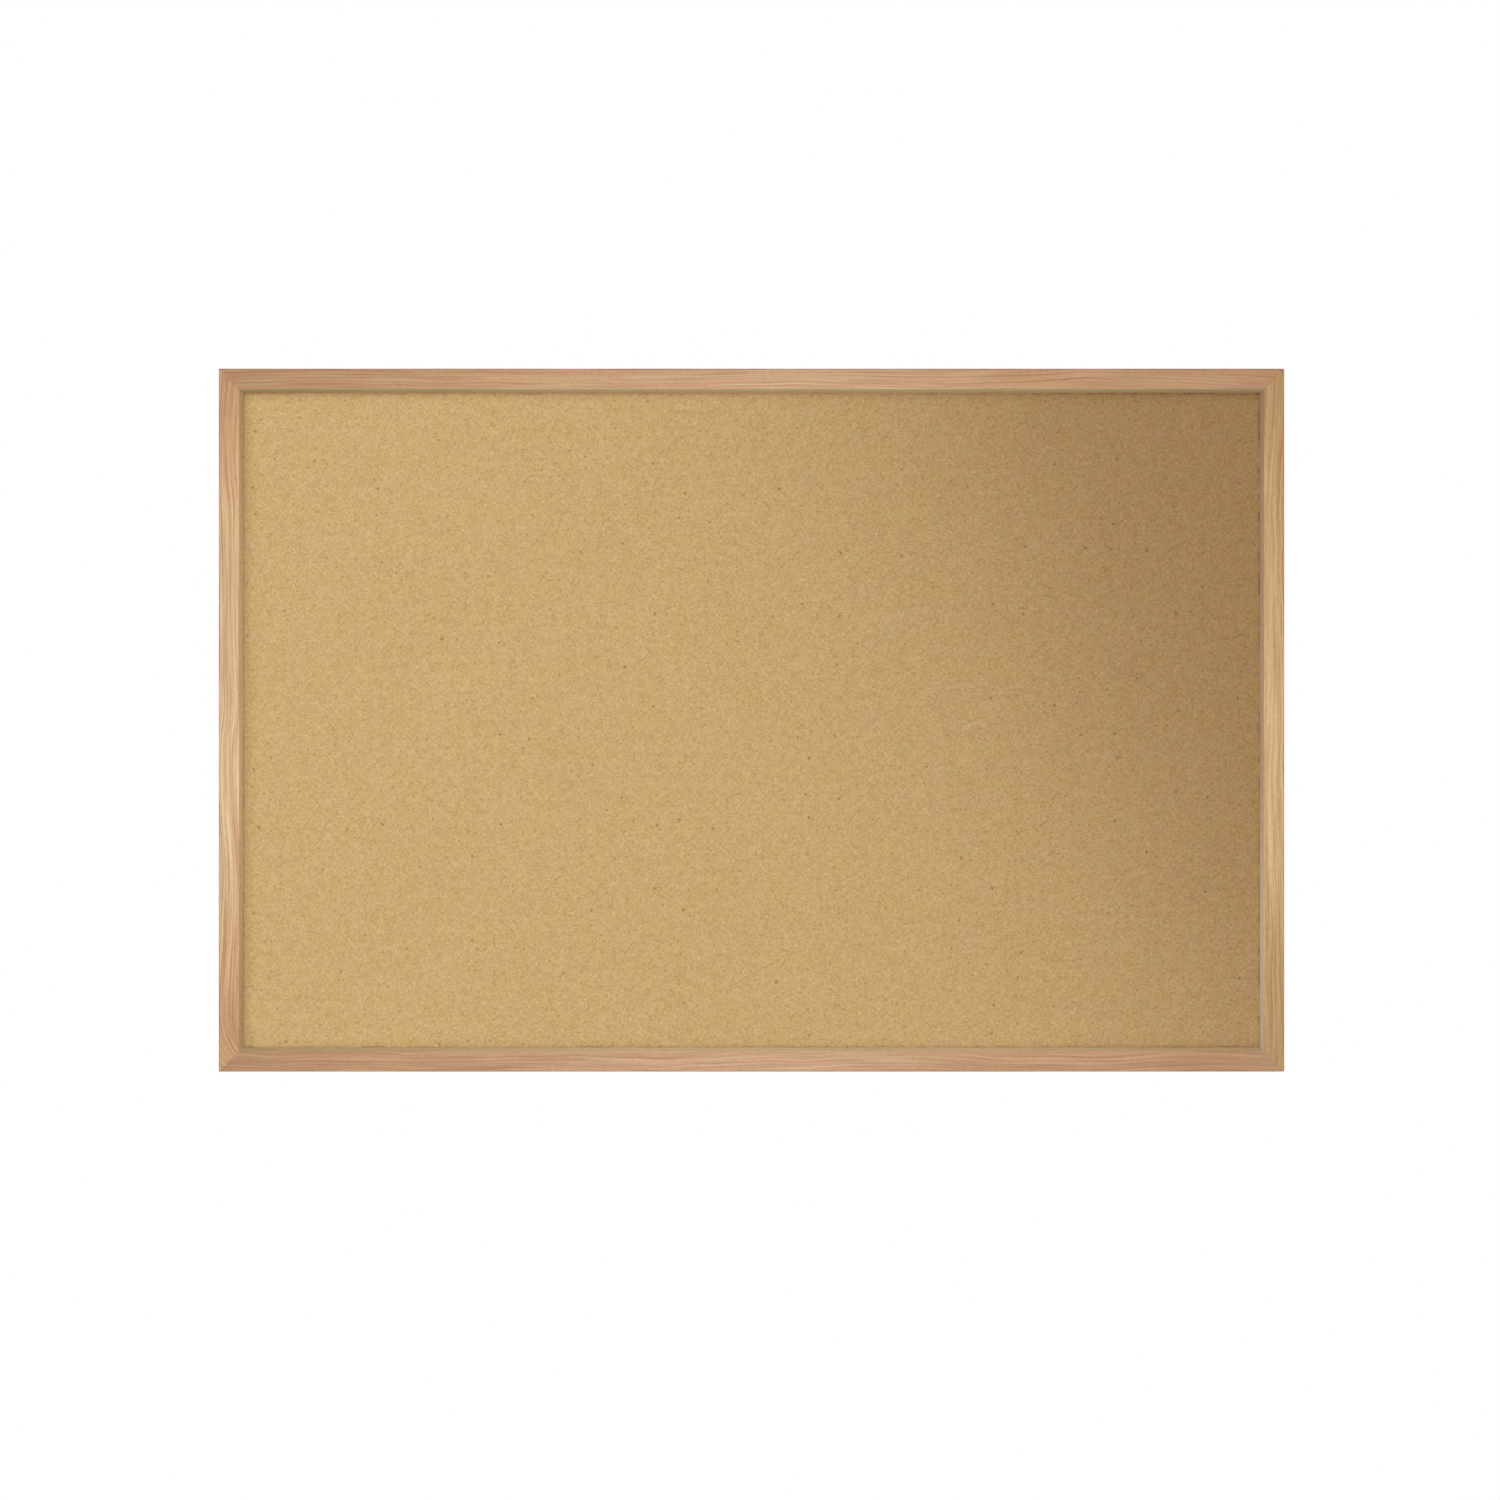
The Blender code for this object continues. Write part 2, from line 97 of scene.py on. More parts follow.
# Hangers
WIRE_RADIUS = 1.0 * MM
STRAP_THICKNESS = 0.6 * MM
STRAP_WIDTH = 9.5 * MM
STRAP_SEAM = 0.15 * MM
STRAP_GAP = 0.3 * MM
SCREW_DROP = 12.5 * MM
RING_HALF_WIDTH = 7.0 * MM
RING_CORNER = 2.0 * MM
RING_LEG = 4.0 * MM
WIRE_END = 0.08 * MM  # from the middle of the ring's bar to each of the wire's two ends

HEAD_RADIUS = 3.0 * MM
HEAD_HEIGHT = 1.8 * MM
DOME_RISE = 0.9 * MM  # half the height of the flat ellipse that the head's top follows
SHANK_RADIUS = 1.45 * MM
THREAD_ROOT = 1.05 * MM
THREAD_PITCH = 1.1 * MM
THREAD_TURNS = 8
THREAD_START = 2.0 * MM  # plain shank under the head
SCREW_TURN = {"left": 12, "right": 31}  # how far each screw's cross is turned, in degrees

CAMERA_LENS = 85.0
CAMERA_SENSOR = 36.0
PICTURE_WIDTH = 1.2862  # what the picture takes in, side to side, at the front of the frame
CAMERA_SIDE = -0.0013  # the board sits a little to the right of the picture's middle
CAMERA_DROP = -0.0256  # and a little above it

# Lights, in watts. The panels in front are a little cooler than the light all round.
COOL = (0.865, 1.0, 0.992)
AROUND = (0.415, 0.338, 0.345)
PANEL_DISTANCE = 0.20  # the cork's panel: how far in front of the board it hangs
PANEL_EDGE = 0.245  # from the board's middle to the panel's slanted right edge
PANEL_SIZE = (1.4, 1.9)
PANEL_SLANT = 26  # degrees
CORK_POWER = 4.7
CORK_FILL = 0.18  # the share of it that three of the frame's sides don't shade
RAKING_POWER = 50.0
FRAME_POWER = 9.2
MIDDLE_POWER = 1.20
SIDE_POWER = {"right_stile": 0.42, "left_stile": 0.48}
BACK_KEY_POWER = 45.0
BACK_FILL_POWER = 18.0
FLOOR_POWER = 2.05  # watts to the square metre
FLOOR_TINT = (0.90, 1.0, 0.99)

FLOOR_HALF_SIZE = (4.5, 3.2)
FLOOR_PLACE = (0, -0.9, -1.25)

# Colours out of 255. The oak's own are those of its details.
OAK_REDDER = (207, 149, 114)
OAK_YELLOWER = (206, 168, 114)
OAK_DARK_LINE = (168, 112, 74)
OAK_PALE_LINE = (228, 194, 150)
OAK_PORE = (122, 80, 50)
OAK_FLECK = (228, 196, 156)
# The wall under the bevel is painted pale: painted light that lifts the shade there
OAK_WALL_PAINTED_LIGHT = (232, 206, 164)  # the upright wall under the bevel
CORK_DARK_GRAIN = (198, 162, 110)
CORK_PALE_GRAIN = (209, 175, 122)
CORK_GREENISH = (190, 177, 105)
CORK_ORANGE = (222, 159, 112)
CORK_YELLOW = (206, 172, 90)
CORK_PINKISH = (203, 167, 140)
CORK_SPECK = (132, 96, 54)
PALER_CORK = (0.41, 0.39, 0.27)  # linear, and added to the cork by how much paler it is in a place

# How often each pattern of the grain repeats to the metre: along the wood, and across it
GRAIN_RATES = {
    "ripple": (24.0, 60.0),
    "broad": (5.0, 25.0),
    "bands": (7.0, 430.0),
    "hue": (10.0, 420.0),
    "lines": (15.0, 760.0),
    "fibre": (70.0, 1300.0),
    "ticks": (250.0, 800.0),
    "pores": (110.0, 3600.0),
    "flecks": (260.0, 420.0),
}
DRIFT_RATE = 4.5
INWARD_RATE = 300.0  # how often the fibre and the ticks repeat going back into the wood

# Where the ends' painted shade starts and is full, as shares of the way from a side's middle to its corner
END_SHADED = {"rail": (0.08, 0.64), "stile": (0.45, 0.97)}
RUN_OUT = (-0.215, -0.335)  # heights between which the left stile's grain runs out of the wood
# The right stile's bevel turns paler low down as a painted highlight
LOW_BEVEL_HIGHLIGHT = (0.0, 0.22)  # distances below the middle over which the right stile's bevel turns paler

SIDES = {"top_rail": 0, "right_stile": 90, "bottom_rail": 180, "left_stile": 270}
ENDS = {"left": -1, "right": 1}
EDGES = {"top": 1, "bottom": -1}


def colour(red, green, blue):
    """A linear colour from display values out of 255."""
    out = []
    for value in (red, green, blue):
        share = value / 255
        out.append(share / 12.92 if share <= 0.04045 else ((share + 0.055) / 1.055) ** 2.4)
    return (*out, 1.0)


# Shader graphs


class Graph:
    """Adds nodes to a material. Any value may be a number, a colour or another node's output."""

    def __init__(self, name):
        self.material = bpy.data.materials.new(name)
        self.material.use_nodes = True
        self.tree = self.material.node_tree
        self.shader = self.tree.nodes["Principled BSDF"]

    def put(self, socket, value):
        if isinstance(value, bpy.types.NodeSocket):
            self.tree.links.new(value, socket)
        else:
            socket.default_value = value

    def node(self, kind, inputs=None, **settings):
        node = self.tree.nodes.new("ShaderNode" + kind)
        for name, value in settings.items():
            setattr(node, name, value)
        for key, value in (inputs or {}).items():
            self.put(node.inputs[key], value)
        return node

    def math(self, operation, *values):
        node = self.node("Math", operation=operation)
        for socket, value in zip(node.inputs, values):
            self.put(socket, value)
        return node.outputs[0]

    def add(self, *values):
        total = values[0]
        for value in values[1:]:
            total = self.math("ADD", total, value)
        return total

    def times(self, *values):
        product = values[0]
        for value in values[1:]:
            product = self.math("MULTIPLY", product, value)
        return product

    def spread(self, value, amount):
        """Turns 0 to 1 into -amount to +amount."""
        return self.times(self.math("SUBTRACT", value, 0.5), 2 * amount)

    def ramp(self, value, start, end):
        """0 at start and 1 at end, with a soft change between them."""
        inputs = {"Value": value, "From Min": start, "From Max": end}
        return self.node("MapRange", inputs, interpolation_type="SMOOTHSTEP").outputs[0]

    def place(self):
        """A point's place on the board at rest."""
        return self.node("TexCoord").outputs["Object"]

    def dot(self, vector, direction):
        node = self.node("VectorMath", {0: vector, 1: direction}, operation="DOT_PRODUCT")
        return node.outputs["Value"]

    def stretch(self, vector, scale):
        return self.node("VectorMath", {0: vector, 1: scale}, operation="MULTIPLY").outputs[0]

    def shift(self, vector, offset):
        return self.node("VectorMath", {0: vector, 1: offset}, operation="ADD").outputs[0]

    def join(self, x, y, z):
        return self.node("CombineXYZ", {0: x, 1: y, 2: z}).outputs[0]

    def split(self, vector):
        return self.node("SeparateXYZ", {0: vector}).outputs

    def noise(self, vector, scale=1.0, detail=2.0, roughness=0.5):
        inputs = {"Vector": vector, "Scale": scale, "Detail": detail, "Roughness": roughness}
        return self.node("TexNoise", inputs).outputs[0]

    def cells(self, vector, scale=1.0, dimensions="3D"):
        inputs = {"Vector": vector, "Scale": scale}
        return self.node("TexVoronoi", inputs, voronoi_dimensions=dimensions)

    def warp(self, vector, scale, reach):
        """Moves points about by up to about reach, so that what is drawn there has ragged edges."""
        inputs = {"Vector": vector, "Scale": scale, "Detail": 1.0}
        wander = self.node("TexNoise", inputs).outputs["Color"]
        centred = self.shift(wander, (-0.5, -0.5, -0.5))
        return self.shift(vector, self.stretch(centred, (2 * reach, 2 * reach, 0.0)))

    def specks(self, vector, scale, radii, share):
        """1 on soft-edged specks: one in each cell for that share of the cells, radii in mm."""
        cell = self.cells(vector, scale, dimensions="2D")
        pick = self.split(cell.outputs["Color"])
        smallest, largest = (radius * MM * scale for radius in radii)
        size = self.add(smallest, self.times(pick[0], pick[0], largest - smallest))
        past_edge = self.math("SUBTRACT", cell.outputs["Distance"], size)
        soft = 0.35 * MM * scale
        chosen = self.ramp(pick[1], 1 - share, 1 - 0.8 * share)
        return self.times(self.ramp(past_edge, soft, -soft), chosen)

    def mix(self, factor, first, second, blend="MIX"):
        node = self.node("Mix", data_type="RGBA", blend_type=blend)
        for index, value in ((0, factor), (6, first), (7, second)):
            self.put(node.inputs[index], value)
        return node.outputs[2]

    def brighten(self, tint, factor):
        """A colour times a number."""
        inputs = {"Vector": tint, "Scale": factor}
        return self.node("VectorMath", inputs, operation="SCALE").outputs[0]

    def finish(self, tint, roughness, height=None, bump_depth=0.1 * MM, bump=0.5, **constants):
        self.put(self.shader.inputs["Base Color"], tint)
        self.put(self.shader.inputs["Roughness"], roughness)
        for name, value in constants.items():
            self.shader.inputs[name.replace("_", " ").title().replace("Ior", "IOR")].default_value = value
        if height is not None:
            inputs = {"Strength": bump, "Distance": bump_depth, "Height": height}
            normal = self.node("Bump", inputs).outputs[0]
            self.put(self.shader.inputs["Normal"], normal)
        return self.material


# What differs between the four sides of oak. light and dark are the wood's colours, and bevel is its
# inner bevel's own olive, made lighter or darker on each side as painted light and shade, with
# bevel_foot_shadow a painted shadow at the bevel's inner edge and bevel_low_highlight a painted highlight
# on a stile's lower half. Near the ends they are multiplied by the end factor, a painted shade where the
# light on the frame falls off toward its corners. blush is how much redder and yellower the wood is in
# places, and streaks is how strong its fine lines are. Its rings lie ring apart, sloping by tilt degrees,
# its grain wanders by drift, and it runs out of the wood by run_out near the lower end. Each seed gives
# a pattern of its own.
OAK = {
    "top_rail": {
        "light": (209, 172, 134),
        "dark": (177, 129, 91),
        "bevel": (137, 134, 92),
        "bevel_foot_shadow": (141, 115, 79),
        "end_shade": (0.955, 0.90, 0.81),
        "blush": 1.4,
        "streaks": 0.55,
        "ring": 2.6 * MM,
        "tilt": 24,
        "drift": 8 * MM,
        "seed": 3.1,
    },
    "right_stile": {
        "light": (220, 183, 125),
        "dark": (180, 132, 79),
        "bevel": (154, 122, 95),
        "bevel_low_highlight": (192, 168, 146),
        "end_shade": (0.87, 0.82, 0.77),
        "blush": 0.2,
        "streaks": 0.85,
        "ring": 1.8 * MM,
        "tilt": 40,
        "drift": 7 * MM,
        "seed": 11.7,
    },
    "bottom_rail": {
        "light": (209, 171, 135),
        "dark": (177, 129, 91),
        "bevel": (176, 152, 114),
        "end_shade": (0.94, 0.885, 0.79),
        "blush": 1.2,
        "streaks": 0.5,
        "ring": 2.8 * MM,
        "tilt": 30,
        "drift": 9 * MM,
        "seed": 23.9,
    },
    "left_stile": {
        "light": (230, 193, 146),
        "dark": (187, 136, 89),
        "bevel": (169, 138, 94),
        "end_shade": (0.98, 0.93, 0.86),
        "blush": 1.2,
        "streaks": 0.9,
        "ring": 3.2 * MM,
        "tilt": 18,
        "drift": 14 * MM,
        "seed": 37.3,
        "run_out": 45 * MM,
    },
}


def grain_axes(graph, turn, reach):
    """How far a point is along one side of the frame, in from its outer edge, and back from its front."""
    place = graph.place()
    along = graph.dot(place, (math.cos(turn), 0, -math.sin(turn)))
    out = graph.dot(place, (math.sin(turn), 0, math.cos(turn)))
    across = graph.math("SUBTRACT", reach, out)
    depth = graph.math("SUBTRACT", graph.split(place)[1], Y_FRONT)
    return along, across, depth


def drawn_out(graph, along, across, third, pattern):
    """Where to read a pattern of the grain, for a point along and across the wood."""
    rate_along, rate_across = GRAIN_RATES[pattern]
    return graph.join(graph.times(along, rate_along), graph.times(across, rate_across), third)


def grain_level(graph, along, across, depth, look):
    """How deep a point is in the tree: it is the same all along a line of the grain."""
    tilt = math.radians(look["tilt"])
    seed = look["seed"]
    slow = graph.noise(graph.join(graph.times(along, DRIFT_RATE), seed, 0.0), detail=2.0)
    quick = graph.noise(drawn_out(graph, along, across, seed, "ripple"), detail=2.0)
    level = graph.add(
        graph.times(across, math.cos(tilt)),
        graph.times(depth, math.sin(tilt)),
        graph.spread(slow, look["drift"]),
        graph.spread(quick, 1.3 * MM),
    )
    if "run_out" in look:
        low_end = graph.math("POWER", graph.ramp(along, *RUN_OUT), 3.0)
        level = graph.add(level, graph.times(low_end, -look["run_out"]))
    return level


def growth_rings(graph, level, look):
    """1 at the start of each ring, in its porous early wood, falling to 0 in its late wood."""
    uneven = graph.noise(graph.join(graph.times(level, 170.0), look["seed"], 5.0), detail=1.0)
    rings = graph.times(graph.add(level, graph.spread(uneven, 2.2 * MM)), 1 / look["ring"])
    phase = graph.math("FRACT", rings)
    return graph.times(graph.ramp(phase, 0.0, 0.22), graph.ramp(phase, 0.90, 0.25))


def grain_patterns(graph, along, across, depth, look):
    """The patterns that the wood's colour and surface are made from, by name, each from 0 to 1."""
    seed = look["seed"]
    level = grain_level(graph, along, across, depth, look)
    rings = growth_rings(graph, level, look)
    bands = graph.noise(drawn_out(graph, along, level, seed, "bands"), detail=3.0, roughness=0.62)
    inward = graph.times(depth, INWARD_RATE)
    fibre_place = graph.shift(drawn_out(graph, along, level, inward, "fibre"), (seed, 0.0, 0.0))
    tick_place = graph.shift(drawn_out(graph, along, level, inward, "ticks"), (0.0, 0.0, seed))
    distance = {}
    for pattern in ("pores", "flecks"):
        inward = graph.times(depth, GRAIN_RATES[pattern][1])
        cells = graph.cells(drawn_out(graph, along, across, inward, pattern))
        distance[pattern] = cells.outputs["Distance"]
    open_pores = graph.add(graph.times(rings, 0.85), 0.08)
    return {
        "rings": rings,
        "bands": graph.ramp(bands, 0.30, 0.70),
        "hue": graph.noise(drawn_out(graph, along, level, -seed, "hue"), detail=1.0),
        "lines": graph.noise(drawn_out(graph, along, level, seed, "lines"), detail=1.0),
        "fibre": graph.noise(fibre_place, detail=3.0, roughness=0.6),
        "ticks": graph.noise(tick_place, detail=1.0),
        "pores": graph.times(graph.ramp(distance["pores"], 0.36, 0.14), open_pores),
        "flecks": graph.ramp(distance["flecks"], 0.16, 0.05),
        "broad": graph.noise(drawn_out(graph, along, across, seed, "broad"), detail=2.0),
    }


def wood_tint(graph, patterns, look):
    """The wood's colour from its bands and rings, redder and yellower in places, with fine lines."""
    dark_share = graph.add(
        graph.times(patterns["bands"], 0.66),
        graph.times(patterns["rings"], 0.30),
        graph.spread(patterns["fibre"], 0.30),
    )
    dark_share = graph.math("MINIMUM", graph.math("MAXIMUM", dark_share, 0.0), 1.0)
    wood = graph.mix(dark_share, colour(*look["light"]), colour(*look["dark"]))
    for pattern, start, end, share, tint in (
        ("hue", 0.50, 0.68, 0.50 * look["blush"], OAK_REDDER),
        ("hue", 0.48, 0.32, 0.32 * look["blush"], OAK_YELLOWER),
        ("lines", 0.55, 0.68, 0.50 * look["streaks"], OAK_DARK_LINE),
        ("lines", 0.46, 0.33, 0.40 * look["streaks"], OAK_PALE_LINE),
    ):
        amount = graph.times(graph.ramp(patterns[pattern], start, end), share)
        wood = graph.mix(amount, wood, colour(*tint))
    return wood


def shade_ends(graph, wood, along, name):
    """Painted shade: the wood darker near the side's two ends, where the frame's light falls off."""
    half = (HALF_WIDTH if "rail" in name else HALF_HEIGHT) - MOULDING_WIDTH
    start, end = END_SHADED[name.split("_")[1]]
    near_end = graph.ramp(graph.math("ABSOLUTE", along), start * half, end * half)
    return graph.mix(near_end, wood, (*OAK[name]["end_shade"], 1.0), "MULTIPLY")


def tint_bevel(graph, wood, along, across, depth, look):
    """The wood with its inner bevel in its own colour and painted light and shade, and its wall pale as
    painted light.
    """
    tint = colour(*look["bevel"])
    # Painted highlight: the right stile's bevel paler on its lower half
    if "bevel_low_highlight" in look:
        tint = graph.mix(graph.ramp(along, *LOW_BEVEL_HIGHLIGHT), tint, colour(*look["bevel_low_highlight"]))
    # Painted shadow: the bevel darker toward its inner edge, in the cork's shade
    if "bevel_foot_shadow" in look:
        foot = graph.ramp(across, FACE_WIDTH + 1.2 * MM, FACE_WIDTH + 2.6 * MM)
        tint = graph.mix(foot, tint, colour(*look["bevel_foot_shadow"]))
    bevel = graph.ramp(across, FACE_WIDTH + 0.1 * MM, FACE_WIDTH + 0.7 * MM)
    bevel = graph.times(bevel, graph.ramp(depth, LIP_DEPTH + 1.0 * MM, LIP_DEPTH - 0.2 * MM))
    wood = graph.mix(graph.times(bevel, 0.85), wood, tint)
    # Painted light: the wall under the bevel made pale to lift its shade
    wall = graph.times(bevel, graph.ramp(depth, BEVEL_DEPTH, BEVEL_DEPTH + 0.6 * MM))
    return graph.mix(graph.times(wall, 0.8), wood, colour(*OAK_WALL_PAINTED_LIGHT))


def make_oak(name):
    """Clear-finished oak with its grain along one side of the frame."""
    look = OAK[name]
    graph = Graph(f"oak_{name}")
    turn = math.radians(SIDES[name])
    reach = HALF_HEIGHT if "rail" in name else HALF_WIDTH
    along, across, depth = grain_axes(graph, turn, reach)
    patterns = grain_patterns(graph, along, across, depth, look)
    fibre, pores = patterns["fibre"], patterns["pores"]

    wood = wood_tint(graph, patterns, look)
    # Painted shade near the ends, where the frame's light falls off toward its corners
    wood = shade_ends(graph, wood, along, name)
    # Painted light and shade on the bevel, and painted light on the wall under it
    wood = tint_bevel(graph, wood, along, across, depth, look)
    light = graph.add(
        1.0,
        graph.spread(patterns["broad"], 0.10),
        graph.spread(fibre, 0.08),
        graph.spread(patterns["ticks"], 0.14),
    )
    wood = graph.brighten(wood, light)
    wood = graph.mix(graph.times(pores, 0.45), wood, colour(*OAK_PORE))
    wood = graph.mix(graph.times(patterns["flecks"], 0.12), wood, colour(*OAK_FLECK))

    gloss = graph.add(0.42, graph.times(pores, 0.25), graph.spread(fibre, 0.06))
    height = graph.add(
        graph.times(pores, -1.0), graph.times(patterns["rings"], -0.10), graph.times(fibre, 0.22)
    )
    return graph.finish(
        wood, gloss, height, bump_depth=0.10 * MM, bump=0.35, coat_weight=0.10, coat_roughness=0.30
    )


def make_cork():
    """Fine agglomerated cork: ragged tan granules, pale and dark, with small soft bark specks."""
    graph = Graph("cork_face")
    place = graph.split(graph.place())
    flat = graph.join(place[0], place[2], 0.0)
    ragged = graph.warp(graph.warp(flat, 330.0, 0.8 * MM), 1300.0, 0.5 * MM)

    # Patterns, from the single granules up to the whole sheet
    crumb = graph.noise(flat, 1700.0, detail=2.0)
    granule = graph.split(graph.cells(ragged, 640.0, dimensions="2D").outputs["Color"])
    upright = graph.noise(graph.stretch(flat, (900.0, 360.0, 1.0)), detail=1.0)
    level = graph.noise(graph.stretch(flat, (360.0, 900.0, 1.0)), detail=1.0)
    lump_place = graph.shift(ragged, (0.31, 0.74, 0.0))
    lump = graph.split(graph.cells(lump_place, 290.0, dimensions="2D").outputs["Color"])
    patch = graph.noise(flat, 120.0, detail=3.0, roughness=0.6)
    warmth = graph.noise(graph.shift(flat, (0.6, 0.2, 0.0)), 60.0, detail=3.0, roughness=0.6)
    dust = graph.noise(graph.shift(flat, (0.1, 0.9, 0.0)), 44.0, detail=3.0, roughness=0.6)
    cloud = graph.noise(flat, 9.0, detail=2.0)

    # Changes of hue, and then of brightness
    tan = graph.mix(granule[0], colour(*CORK_DARK_GRAIN), colour(*CORK_PALE_GRAIN))
    tan = graph.mix(0.44, tan, graph.mix(warmth, colour(*CORK_GREENISH), colour(*CORK_ORANGE)))
    tan = graph.mix(0.38, tan, graph.mix(dust, colour(*CORK_YELLOW), colour(*CORK_PINKISH)))
    light = graph.add(
        graph.spread(patch, 0.13),
        graph.spread(upright, 0.30),
        graph.spread(level, 0.29),
        graph.spread(lump[0], 0.05),
        graph.spread(granule[1], 0.05),
        graph.spread(crumb, 0.05),
        graph.spread(cloud, 0.03),
    )
    tan = graph.shift(tan, graph.brighten(PALER_CORK, light))

    big = graph.specks(graph.shift(ragged, (0.37, 0.11, 0.0)), 38.0, (0.60, 1.40), 0.55)
    small = graph.specks(graph.shift(ragged, (1.7, 0.9, 0.0)), 125.0, (0.30, 1.00), 0.80)
    specks = graph.math("MAXIMUM", graph.times(big, 0.55), graph.times(small, 0.34))
    tan = graph.mix(specks, tan, colour(*CORK_SPECK))

    height = graph.add(
        graph.times(granule[0], 0.6),
        graph.times(lump[0], 0.4),
        graph.times(crumb, 0.8),
        graph.times(specks, -0.4),
        graph.times(patch, 0.6),
    )
    roughness = graph.add(0.86, graph.spread(patch, 0.06))
    return graph.finish(tan, roughness, height, bump_depth=0.2 * MM, bump=0.3, specular_ior_level=0.25)


def make_fiberboard():
    """Pressed wood fibre, brown and matt."""
    graph = Graph("pressed_fibre")
    place = graph.place()
    fibres = graph.noise(graph.stretch(place, (320.0, 1400.0, 900.0)), detail=4.0, roughness=0.65)
    lumps = graph.noise(place, 60.0, detail=3.0)
    tint = graph.mix(fibres, colour(128, 100, 72), colour(172, 142, 108))
    tint = graph.brighten(tint, graph.add(1.0, graph.spread(lumps, 0.10)))
    height = graph.add(fibres, lumps)
    return graph.finish(tint, 0.92, height, bump_depth=0.3 * MM, bump=0.5)


def make_kraft():
    """Brown kraft paper glued to a thin board, with long fibres, flecks and a few rubbed places."""
    graph = Graph("kraft_paper")
    place = graph.place()
    fibres = graph.noise(graph.stretch(place, (190.0, 900.0, 760.0)), detail=5.0, roughness=0.7)
    cross = graph.noise(graph.stretch(place, (900.0, 900.0, 210.0)), detail=4.0, roughness=0.7)
    cloud = graph.noise(place, 14.0, detail=4.0, roughness=0.55)
    fleck = graph.cells(graph.stretch(place, (330.0, 900.0, 800.0)))
    fleck_mix = graph.split(fleck.outputs["Color"])
    dots = graph.times(
        graph.ramp(fleck.outputs["Distance"], 0.22, 0.10), graph.ramp(fleck_mix[0], 0.80, 0.92)
    )
    rubbed = graph.ramp(graph.noise(graph.stretch(place, (9.0, 9.0, 26.0)), detail=6.0), 0.60, 0.74)
    tint = graph.mix(fibres, colour(158, 122, 84), colour(188, 152, 112))
    tint = graph.brighten(tint, graph.add(1.0, graph.spread(cloud, 0.10), graph.spread(cross, 0.05)))
    tint = graph.mix(graph.times(dots, 0.5), tint, colour(104, 76, 50))
    tint = graph.mix(graph.times(rubbed, 0.12), tint, colour(204, 176, 140))
    roughness = graph.add(0.78, graph.times(rubbed, -0.10))
    height = graph.add(fibres, graph.times(cross, 0.5), graph.times(cloud, 1.5))
    return graph.finish(tint, roughness, height, bump_depth=0.10 * MM, bump=0.5)


def make_metal(name, tint, dull_tint, roughness, brushed):
    """Plated or bright sheet steel, finely scratched and a little clouded."""
    graph = Graph(name)
    place = graph.place()
    scratches = graph.noise(graph.stretch(place, brushed), detail=3.0, roughness=0.6)
    cloud = graph.noise(place, 420.0, detail=3.0)
    tint = graph.mix(graph.ramp(cloud, 0.35, 0.70), colour(*tint), colour(*dull_tint))
    gloss = graph.add(roughness, graph.spread(cloud, 0.10), graph.spread(scratches, 0.08))
    return graph.finish(tint, gloss, scratches, bump_depth=0.02 * MM, bump=0.4, metallic=1.0)


def make_rubber():
    """Black moulded rubber with a dusty bloom."""
    graph = Graph("black_rubber")
    place = graph.place()
    grain = graph.noise(place, 2600.0, detail=2.0)
    bloom = graph.noise(place, 300.0, detail=4.0)
    tint = graph.mix(graph.ramp(bloom, 0.45, 0.75), colour(42, 42, 44), colour(66, 65, 64))
    return graph.finish(tint, graph.add(0.66, graph.spread(bloom, 0.1)), grain, 0.05 * MM, 0.4)


# Mesh tools


def mesh_from(name, bm, smooth_below):
    """A mesh from bm with its faces pointing out, smooth but for its sharper edges."""
    bmesh.ops.recalc_face_normals(bm, faces=bm.faces)
    mesh = bpy.data.meshes.new(name)
    bm.to_mesh(mesh)
    bm.free()
    mesh.shade_smooth()
    mesh.set_sharp_from_angle(angle=math.radians(smooth_below))
    return mesh


def add_object(name, mesh, material=None):
    obj = bpy.data.objects.new(name, mesh)
    if material:
        mesh.materials.append(material)
    bpy.context.scene.collection.objects.link(obj)
    return obj


def apply_modifiers(obj):
    """Makes the mesh that the object's modifiers give its own, and removes them."""
    graph = bpy.context.evaluated_depsgraph_get()
    mesh = bpy.data.meshes.new_from_object(obj.evaluated_get(graph))
    obj.modifiers.clear()
    obj.data = mesh


def cut(obj, cutters):
    """Cuts the cutters out of obj and removes them."""
    for cutter in cutters:
        modifier = obj.modifiers.new("cut", "BOOLEAN")
        modifier.operation = "DIFFERENCE"
        modifier.solver = "EXACT"
        modifier.object = cutter
    apply_modifiers(obj)
    for cutter in cutters:
        bpy.data.objects.remove(cutter)


def arc(centre, radius, start, end, steps):
    """Points of an arc, its two ends included. Angles are in degrees."""
    points = []
    for i in range(steps + 1):
        angle = math.radians(start + (end - start) * i / steps)
        points.append((centre[0] + radius * math.cos(angle), centre[1] + radius * math.sin(angle)))
    return points


def fillet(before, corner, after, radius, steps):
    """The corner of a path made round: points of an arc that meets both its legs."""
    corner = Vector(corner)
    into = (Vector(before) - corner).normalized()
    out = (Vector(after) - corner).normalized()
    half = into.angle(out) / 2
    trim = radius / math.tan(half)
    points = []
    for i in range(steps + 1):
        share = i / steps
        middle = (1 - share) ** 2 * into * trim + share**2 * out * trim
        points.append(tuple(corner + middle))
    return points


def along_path(path):
    """Each point of a path, with the way that the path runs there."""
    pairs = []
    for i, here in enumerate(path):
        before, after = path[max(i - 1, 0)], path[min(i + 1, len(path) - 1)]
        pairs.append((here, (after - before).normalized()))
    return pairs


